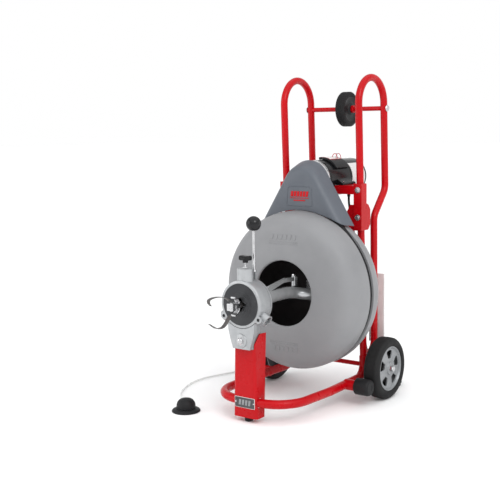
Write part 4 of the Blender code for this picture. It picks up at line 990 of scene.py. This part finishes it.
def make_yoke():
    seat = arc((0, DRUM_Z), HEAD_R + GAP, 360 - 46, 180 + 46, 24)
    front = [(-0.034, POST_TOP + GAP), (0.034, POST_TOP + GAP), (0.044, 0.2800), (0.052, 0.312)]
    back = [(-0.052, 0.312), (-0.044, 0.2800)]
    yoke = prism("cast_yoke", front + seat + back, "XZ", -0.2960, POST_Y - GAP, CAST)
    narrow = [(-0.0368, POST_TOP + GAP), (0.0368, POST_TOP + GAP)] + arc((0, DRUM_Z), HEAD_R + GAP, 297, 243, 16)
    unite(yoke, prism("middle", narrow, "XZ", POST_Y - 0.002, -0.2385, CAST),
          block("tongue", (-0.036, POST_Y + SHEET + GAP, 0.190), (0.036, -0.236, 0.262), CAST),
          turned("boss", [(0, -0.285), (0.0240, -0.285), (0.0240, -0.2955), (0.0222, -0.2995), (0.0195, -0.3008),
                          (0, -0.3008)], CAST, "Y", (0, 0, YOKE_BOLT_Z), 64))
    show(soften(yoke, 0.0016, 3, 40), "machine", "cast_alloy", "head_yoke")
    washer = ring("yoke_washer", "Y", (0, 0, YOKE_BOLT_Z), 0.004, 0.0140, -0.3024, -0.3007, STEEL, 48)
    show(soften(washer, 0.0004), "machine", "steel")
    dome = [(0, -0.3022), (0.0112, -0.3022)]
    dome += [(0.0112 * math.cos(math.radians(t)), -0.3040 - 0.0062 * math.sin(math.radians(t)))
             for t in range(0, 90, 10)] + [(0, -0.3102)]
    show(turned("yoke_bolt", dome, STEEL, "Y", (0, 0, YOKE_BOLT_Z), 64), "machine", "steel")


def radial_rod(name, angle, radius, low, high, mat=CAST, segments=48):
    """A rod that points out from the head's axis at an angle."""
    a = math.radians(angle)
    direction = Vector((math.cos(a), 0, math.sin(a)))
    centre = Vector((0, BOSS_Y, DRUM_Z))
    across = direction.cross(Vector((0, 1, 0)))
    verts = [centre + direction * d + across * (radius * math.cos(math.tau * i / segments))
             + Vector((0, 1, 0)) * (radius * math.sin(math.tau * i / segments))
             for d in (low, high) for i in range(segments)]
    return add(name, verts, prism_faces(segments), mat)


def make_head():
    centre = (0, 0, DRUM_Z)
    low, high = HEAD_Y
    housing = [(HEAD_R - 0.0004, low + 0.0035), (HEAD_R, low + 0.008), (HEAD_R, high - 0.002),
               (HEAD_R - 0.002, high), (0.030, high), (0.030, high - 0.006), (0.073, high - 0.006),
               (0.073, -0.284), (0.064, -0.284), (0.064, -0.2901), (0.0691, -0.2901), (0.0691, low),
               (HEAD_R - 0.004, low), (HEAD_R - 0.0016, low + 0.0009)]
    body = turned("head_casting", housing, CAST, "Y", centre, 96)
    unite(body, radial_rod("top", 90, 0.0275, 0.074, 0.115))
    for angle in (-30, 210):
        unite(body, radial_rod("low", angle, 0.0190, 0.074, 0.101), radial_rod("hold", angle, 0.0100, 0.0305, 0.080))
        cut(body, radial_rod("bore", angle, 0.0140, 0.088, 0.110))
    for x in (-EAR_X, EAR_X):
        unite(body, rod("ear", "Y", (x, 0, EAR_Z), 0.0120, -0.2965, -0.2600, CAST))
        cut(body, rod("ear_hole", "Y", (x, 0, EAR_Z), 0.0058, -0.3000, -0.2920, CAST))
    cut(body, radial_rod("bore", 90, 0.0128, 0.060, 0.104), radial_rod("stem", 90, 0.0036, 0.100, 0.120))
    show(soften(body, 0.0014, 3, 40), "machine", "cast_alloy", "feed_head_housing")
    for n, angle in enumerate((-30, 210)):
        show(soften(radial_rod("boss_plug_%d" % n, angle, 0.0137, 0.0882, 0.0893, PLASTIC), 0.0004), "machine",
             "black_plastic")
    for n, x in enumerate((-EAR_X, EAR_X)):
        screw = [(0, -0.2925), (0.0050, -0.2925), (0.0050, -0.2940), (0.0034, -0.2950), (0.0022, -0.2950),
                 (0.0018, -0.2935), (0, -0.2935)]
        show(turned("ear_screw_%d" % n, screw, DISC, "Y", (x, 0, EAR_Z), 32), "machine", "dark_steel")


def make_disc():
    """The front disc, with a four-lobed hole for the cable and a turned groove."""
    count = 96
    hole, chamfer = ([grow + 0.0045 * math.cos(4 * math.tau * i / count) for i in range(count)]
                     for grow in (0.0180, 0.0192))
    rings = [(hole, -0.2904), (hole, -0.2982), (chamfer, -0.2994)]
    rings += [([r] * count, y) for r, y in ((0.0310, -0.2994), (0.0322, -0.2986), (0.0420, -0.2986),
                                            (0.0432, -0.2994), (0.0676, -0.2994), (0.0688, -0.2984),
                                            (0.0688, -0.2904))]
    verts = [(r * math.cos(math.tau * i / count), y, DRUM_Z + r * math.sin(math.tau * i / count))
             for radii, y in rings for i, r in enumerate(radii)]
    show(add("machined_disc_front", verts, band_faces(count, len(rings)), DISC), "machine", "dark_steel",
         "feed_head_disc")


def make_lever():
    lever = ring("lever_casting", "Y", (0, 0, DRUM_Z), 0.030, HEAD_R - 0.0007, HEAD_Y[1] + 0.0004, -0.2297, CAST, 96)
    unite(lever, prism("socket", soft_outline([(0.0030, 0.466, 0), (0.0180, 0.466, 0), (0.0172, 0.4968, 0.003),
                                               (0.0038, 0.4968, 0.003)]), "XZ", -0.2375, -0.2276, CAST))
    show(soften(lever, 0.0012, 3, 40), "feed_lever", "cast_alloy", "lever_ring")
    stick = [(0, 0.4970 + GAP), (0.0072, 0.4970 + GAP), (0.0072, 0.5035), (0.0060, 0.5045), (0.0044, 0.5050),
             (0.0044, 0.6320), (0, 0.6320)]
    show(soften(turned("lever_shaft", stick, STEEL, "Z", (LEVER_X, LEVER_Y, 0), 48), 0.0005, 2),
         "feed_lever", "steel", "lever_rod")
    ball = [(0, -0.0222), (0.0080, -0.0222), (0.0098, -0.0212)]
    ball += [(BALL_R * math.cos(math.radians(a)), BALL_R * math.sin(math.radians(a))) for a in range(-58, 90, 6)]
    ball += [(0, BALL_R)]
    show(turned("lever_ball", ball, GLOSS, "Z", (LEVER_X, LEVER_Y, 0.6553), 72), "feed_lever", "knob_gloss",
         "lever_knob")


def make_knob():
    bar = soft_outline([(-0.021, 0.5385, 0.006), (0.021, 0.5385, 0.006), (0.0210, 0.5555, 0.0075),
                        (0.007, 0.5530, 0.006), (-0.007, 0.5530, 0.006), (-0.0210, 0.5555, 0.0075)], 6)
    knob = prism("tee_knob", bar, "XZ", BOSS_Y - 0.0078, BOSS_Y + 0.0078, PLASTIC)
    unite(knob, rod("neck", "Z", (0, BOSS_Y, 0), 0.009, 0.5310, 0.5450, PLASTIC))
    show(soften(knob, 0.0026, 4, 40), "screw_knob", "black_plastic", "tension_knob")
    stem = [(0, 0.4895), (0.0032, 0.4895)]
    for i in range(9):
        z = 0.5060 + i * 0.0026
        stem += [(0.0033, z), (0.0029, z + 0.0013)]
    stem += [(0.0033, 0.5310), (0, 0.5310)]
    show(turned("knob_screw", stem, STEEL, "Z", (0, BOSS_Y, 0), 32), "screw_knob", "steel")
    nut = soften(hexagon("knob_lock_nut", "Z", (0, BOSS_Y, 0), 0.0098, 0.5124, 0.5170, STEEL), 0.0006)
    show(nut, "screw_knob", "steel")


def make_rollers():
    """Three waisted rollers round the cable: the top one on the plunger, the lower two 30 degrees down."""
    half = [(0.0090, 0), (0.0094, 0.0050), (0.0100, 0.0110), (0.0085, 0.0126), (0.0042, 0.0128), (0.0042, 0.0140),
            (0, 0.0140)]
    profile = [(r, -y) for r, y in reversed(half[1:])] + half
    reach = 0.0195
    aside, down = reach * math.cos(math.radians(30)), reach / 2
    for label, x, z, body, node in (("top", 0, 0.0215, "upper_roller", "top_roller"),
                                    ("left", -aside, -down, "left_roller", "lower_roller_left"),
                                    ("right", aside, -down, "right_roller", "lower_roller_right")):
        roller = turned("feed_roller_" + label, profile, STEEL, "Y", (x, BOSS_Y, DRUM_Z + z), 40)
        show(soften(roller, 0.0004, 2), body, "steel", node)


def make_cable():
    z = DRUM_Z
    route = rounded([((0, -0.2280, z), 0), ((0, -0.010, z), 0.080), ((0.112, 0.066, z - 0.020), 0.040),
                     ((0.140, 0.070, z - 0.027), 0)], 12)
    guide = swept("guide_pipe", route, 0.0208, SHINY, 48, bore=0.0120)
    arm = soft_outline([(-0.205, z + 0.012, 0), (-0.180, z + 0.030, 0.015), (-0.040, z + 0.052, 0.020),
                        (0.030, z + 0.048, 0.004), (0.030, z + 0.036, 0.004), (-0.060, z + 0.038, 0.020),
                        (-0.160, z + 0.014, 0)])
    unite(guide, prism("arm", arm, "YZ", -0.006, 0.006, SHINY),
          rod("boss", "Z", (0, 0.015, z), 0.0100, 0.018, 0.0535, SHINY))
    show(soften(guide, 0.0014, 3, 40), "cable_and_guide", "cast_alloy", "guide_tube")
    bolt = soften(hexagon("guide_bolt", "Z", (0, 0.015, z), 0.0080, 0.0536, 0.0596, STEEL), 0.0006)
    show(bolt, "cable_and_guide", "steel")
    lead = [Vector((0, -0.335, z)), Vector((0, -0.300, z))] + route
    lead += [Vector((0.1750, 0.0755, z - 0.0340)), Vector((0.2065, 0.0790, z - 0.0420))]
    fine = [lead[0]]
    for p, q in zip(lead, lead[1:]):
        steps = max(1, math.ceil((q - p).length / 0.0011))
        fine += [p.lerp(q, (i + 1) / steps) for i in range(steps)]
    sides, pitch = 20, 0.0044
    coil = swept("drain_cable", fine, CABLE_R, DARK_STEEL, sides)
    walked = 0.0
    mesh = coil.data
    for i, point in enumerate(fine):
        if i:
            walked += (point - fine[i - 1]).length
        swell = 1.0 - 0.09 * (0.5 - 0.5 * math.cos(math.tau * walked / pitch))
        for n in range(i * sides, i * sides + sides):
            co = mesh.vertices[n].co - Vector((0, MIDDLE_Y, 0))
            mesh.vertices[n].co = point + (co - point) * swell + Vector((0, MIDDLE_Y, 0))
    show(coil, "cable_and_guide", "dark_steel", "cable_feed")

    clevis = soften(block("clevis_block", (-0.012, -0.354, z - 0.012), (0.012, -0.336, z + 0.012), STEEL), 0.0020)
    show(clevis, "cable_and_guide", "steel", "cable_coupling")
    bow = arc((-0.338, z), 0.032, 88, -88, 40) + arc((-0.338, z), 0.026, -88, 88, 40)
    show(soften(prism("clevis_bow", bow, "YZ", -0.009, 0.009, STEEL), 0.0016), "cable_and_guide", "steel")
    neck = [(0.0083, -0.3345), (0.0100, -0.3358), (0.0120, -0.3340), (0.0120, -0.3100), (0.0105, -0.3066),
            (0.0083, -0.3066)]
    show(turned("clevis_neck", neck, STEEL, "Y", (0, 0, z), 64), "cable_and_guide", "steel")
    for n, sign in enumerate((1, -1)):
        head = [(0, 0.0120), (0.0052, 0.0120), (0.0048, 0.0138), (0.0030, 0.0144), (0, 0.0144)]
        pin = turned("clevis_pin_%d" % n, [(r, sign * h) for r, h in head], STEEL, "Z", (0, -0.3450, z), 32)
        show(pin, "cable_and_guide", "steel")


def make_blades():
    z = DRUM_Z
    thick = 0.0022
    upper = [(-0.3525, z + 0.020), (-0.375, z + 0.034), (-0.403, z + 0.0415), (-0.435, z + 0.044),
             (-0.4575, z + 0.040), (-0.4590, z + 0.030), (-0.449, z + 0.020)]
    lower = [(-0.3525, z - 0.026), (-0.375, z - 0.048), (-0.395, z - 0.058), (-0.421, z - 0.056),
             (-0.440, z - 0.047), (-0.4590, z - 0.035)]
    for name, spine, node in (("blade_top", upper, "cutter_blade_upper"),
                              ("blade_bottom", lower, "cutter_blade_lower")):
        smooth = smooth_route([(0, y, h) for y, h in spine], 0.004)
        verts, faces = [], []
        for i, p in enumerate(smooth):
            tangent = (smooth[min(i + 1, len(smooth) - 1)] - smooth[max(i - 1, 0)]).normalized()
            normal = Vector((0, -tangent.z, tangent.y))
            share = i / (len(smooth) - 1)
            half = 0.0080 - 0.0030 * max(0.0, (share - 0.72) / 0.28)
            edge = thick / 2 * (1.0 - 0.75 * max(0.0, (share - 0.80) / 0.20))
            for x, lift in ((-half, -0.2), (-half + 0.0016, -1), (half - 0.0016, -1), (half, -0.2),
                            (half, 0.2), (half - 0.0016, 1), (-half + 0.0016, 1), (-half, 0.2)):
                verts.append(p + Vector((x, 0, 0)) + normal * edge * lift)
        for k in range(len(smooth) - 1):
            for i in range(8):
                faces.append([k * 8 + i, k * 8 + (i + 1) % 8, k * 8 + 8 + (i + 1) % 8, k * 8 + 8 + i])
        last = (len(smooth) - 1) * 8
        faces += [list(range(8)), list(range(last, last + 8))]
        show(add(name, verts, faces, DARK_STEEL), "cable_and_guide", "dark_steel", node)


def make_pedal():
    px, py = PEDAL
    base = [(0.0330, 0.0002), (0.0480, 0.0002), (0.0493, 0.0012), (0.0494, 0.0030), (0.0470, 0.0062),
            (0.0430, 0.0082), (0.0375, 0.0098), (0.0352, 0.0106), (0.0330, 0.0106)]
    skirt = turned("pedal_skirt", base, RUBBER, "Z", (px, py, 0), 96)
    nose = swept("nose", [(px - 0.028, py + 0.028, 0.0060), (px - 0.0395, py + 0.0395, 0.0060)], 0.0050, RUBBER, 32)
    show(soften(unite(skirt, nose), 0.0008, 2, 40), "machine", "black_rubber", "pedal_base")
    dome = [(0, 0.0108), (0.0330, 0.0108), (0.0334, 0.0125), (0.0332, 0.0160), (0.0322, 0.0168),
            (0.0322, 0.0182), (0.0330, 0.0190), (0.0325, 0.0240), (0.0310, 0.0295), (0.0282, 0.0350),
            (0.0242, 0.0394), (0.0190, 0.0426), (0.0128, 0.0445), (0.0062, 0.0453), (0, 0.0455)]
    show(turned("pedal_dome", dome, RUBBER, "Z", (px, py, 0), 96), "pedal_button", "black_rubber", "pedal_bulb")
    fitting = [(0, 0.7300), (0.0042, 0.7300), (0.0048, 0.7322), (0.0042, 0.7330), (0.0048, 0.7352), (0.0042, 0.7360),
               (0.0048, 0.7384), (0.0075, 0.7390), (0.0075, 0.7537), (0, 0.7537)]
    show(soften(turned("hose_barb", fitting, PLASTIC, "Z", (BARB_X, BARB_Y, 0), 40), 0.0003, 2), "machine",
         "black_plastic", "air_hose_fitting")


make_frame()
make_crossbar()
make_wheels()
make_brackets()
make_drum()
make_relief()
make_wound_cable()
make_drum_ribs()
make_guard()
make_motor()
make_post()
make_yoke()
make_head()
make_disc()
make_lever()
make_knob()
make_rollers()
make_cable()
make_blades()
make_pedal()

for node_name, mat in (("bearing_panel", RED), ("motor_plate", RED), ("drive_belt", RUBBER),
                       ("drum_bearing", STEEL), ("drum_hub_shaft", STEEL), ("motor_core", DARK_STEEL),
                       ("motor_pulley", CAST), ("motor_shaft", STEEL), ("roller_plunger", CAST)):
    keep(node_name, mat)


# ---------------------------------------------------------------- studio
def make_studio():
    mesh = bpy.data.meshes.new("floor")
    half = 40.0
    mesh.from_pydata([(-half, -half, 0), (half, -half, 0), (half, half, 0), (-half, half, 0)], [], [(0, 1, 2, 3)])
    floor = link("floor", mesh)
    floor.location.z = -0.0005
    mesh.materials.append(finish("studio_floor", (0.975, 0.975, 0.975), (0.965, 0.965, 0.965), (0.75, 0.85),
                                 grain=(40, 0.02, 0.0002), cloud=0.6, specular=0.1))

    world = bpy.data.worlds.new("studio")
    world.use_nodes = True
    nodes, links = world.node_tree.nodes, world.node_tree.links
    split = nodes.new("ShaderNodeSeparateXYZ")
    links.new(nodes.new("ShaderNodeTexCoord").outputs["Generated"], split.inputs[0])
    ramp = nodes.new("ShaderNodeValToRGB")
    ramp.color_ramp.elements[0].position = 0.20
    ramp.color_ramp.elements[0].color = (1, 1, 1, 1)
    ramp.color_ramp.elements[1].position = 0.75
    ramp.color_ramp.elements[1].color = (0.42, 0.43, 0.44, 1)
    links.new(split.outputs["Z"], ramp.inputs["Fac"])
    links.new(ramp.outputs["Color"], nodes["Background"].inputs["Color"])
    nodes["Background"].inputs["Strength"].default_value = 1.0
    bpy.context.scene.world = world

    for name, spot, target, size, power in (("key", (2.6, -1.6, 2.9), (0.1, 0, 0.5), 1.6, 40),
                                            ("fill", (-2.4, -2.6, 1.5), (0, 0, 0.4), 2.2, 22)):
        data = bpy.data.lights.new(name, "AREA")
        data.size, data.energy = size, power
        lamp = link(name, data)
        lamp.location = spot
        lamp.rotation_euler = (Vector(spot) - Vector(target)).to_track_quat("Z", "Y").to_euler()
    data = bpy.data.lights.new("overhead", "SUN")
    data.energy, data.angle = 1.8, math.radians(100)
    lamp = link("overhead", data)
    lamp.rotation_euler = Vector((0.25, -0.2, 1.0)).to_track_quat("Z", "Y").to_euler()
    bpy.context.scene.view_settings.view_transform = "Standard"


make_studio()
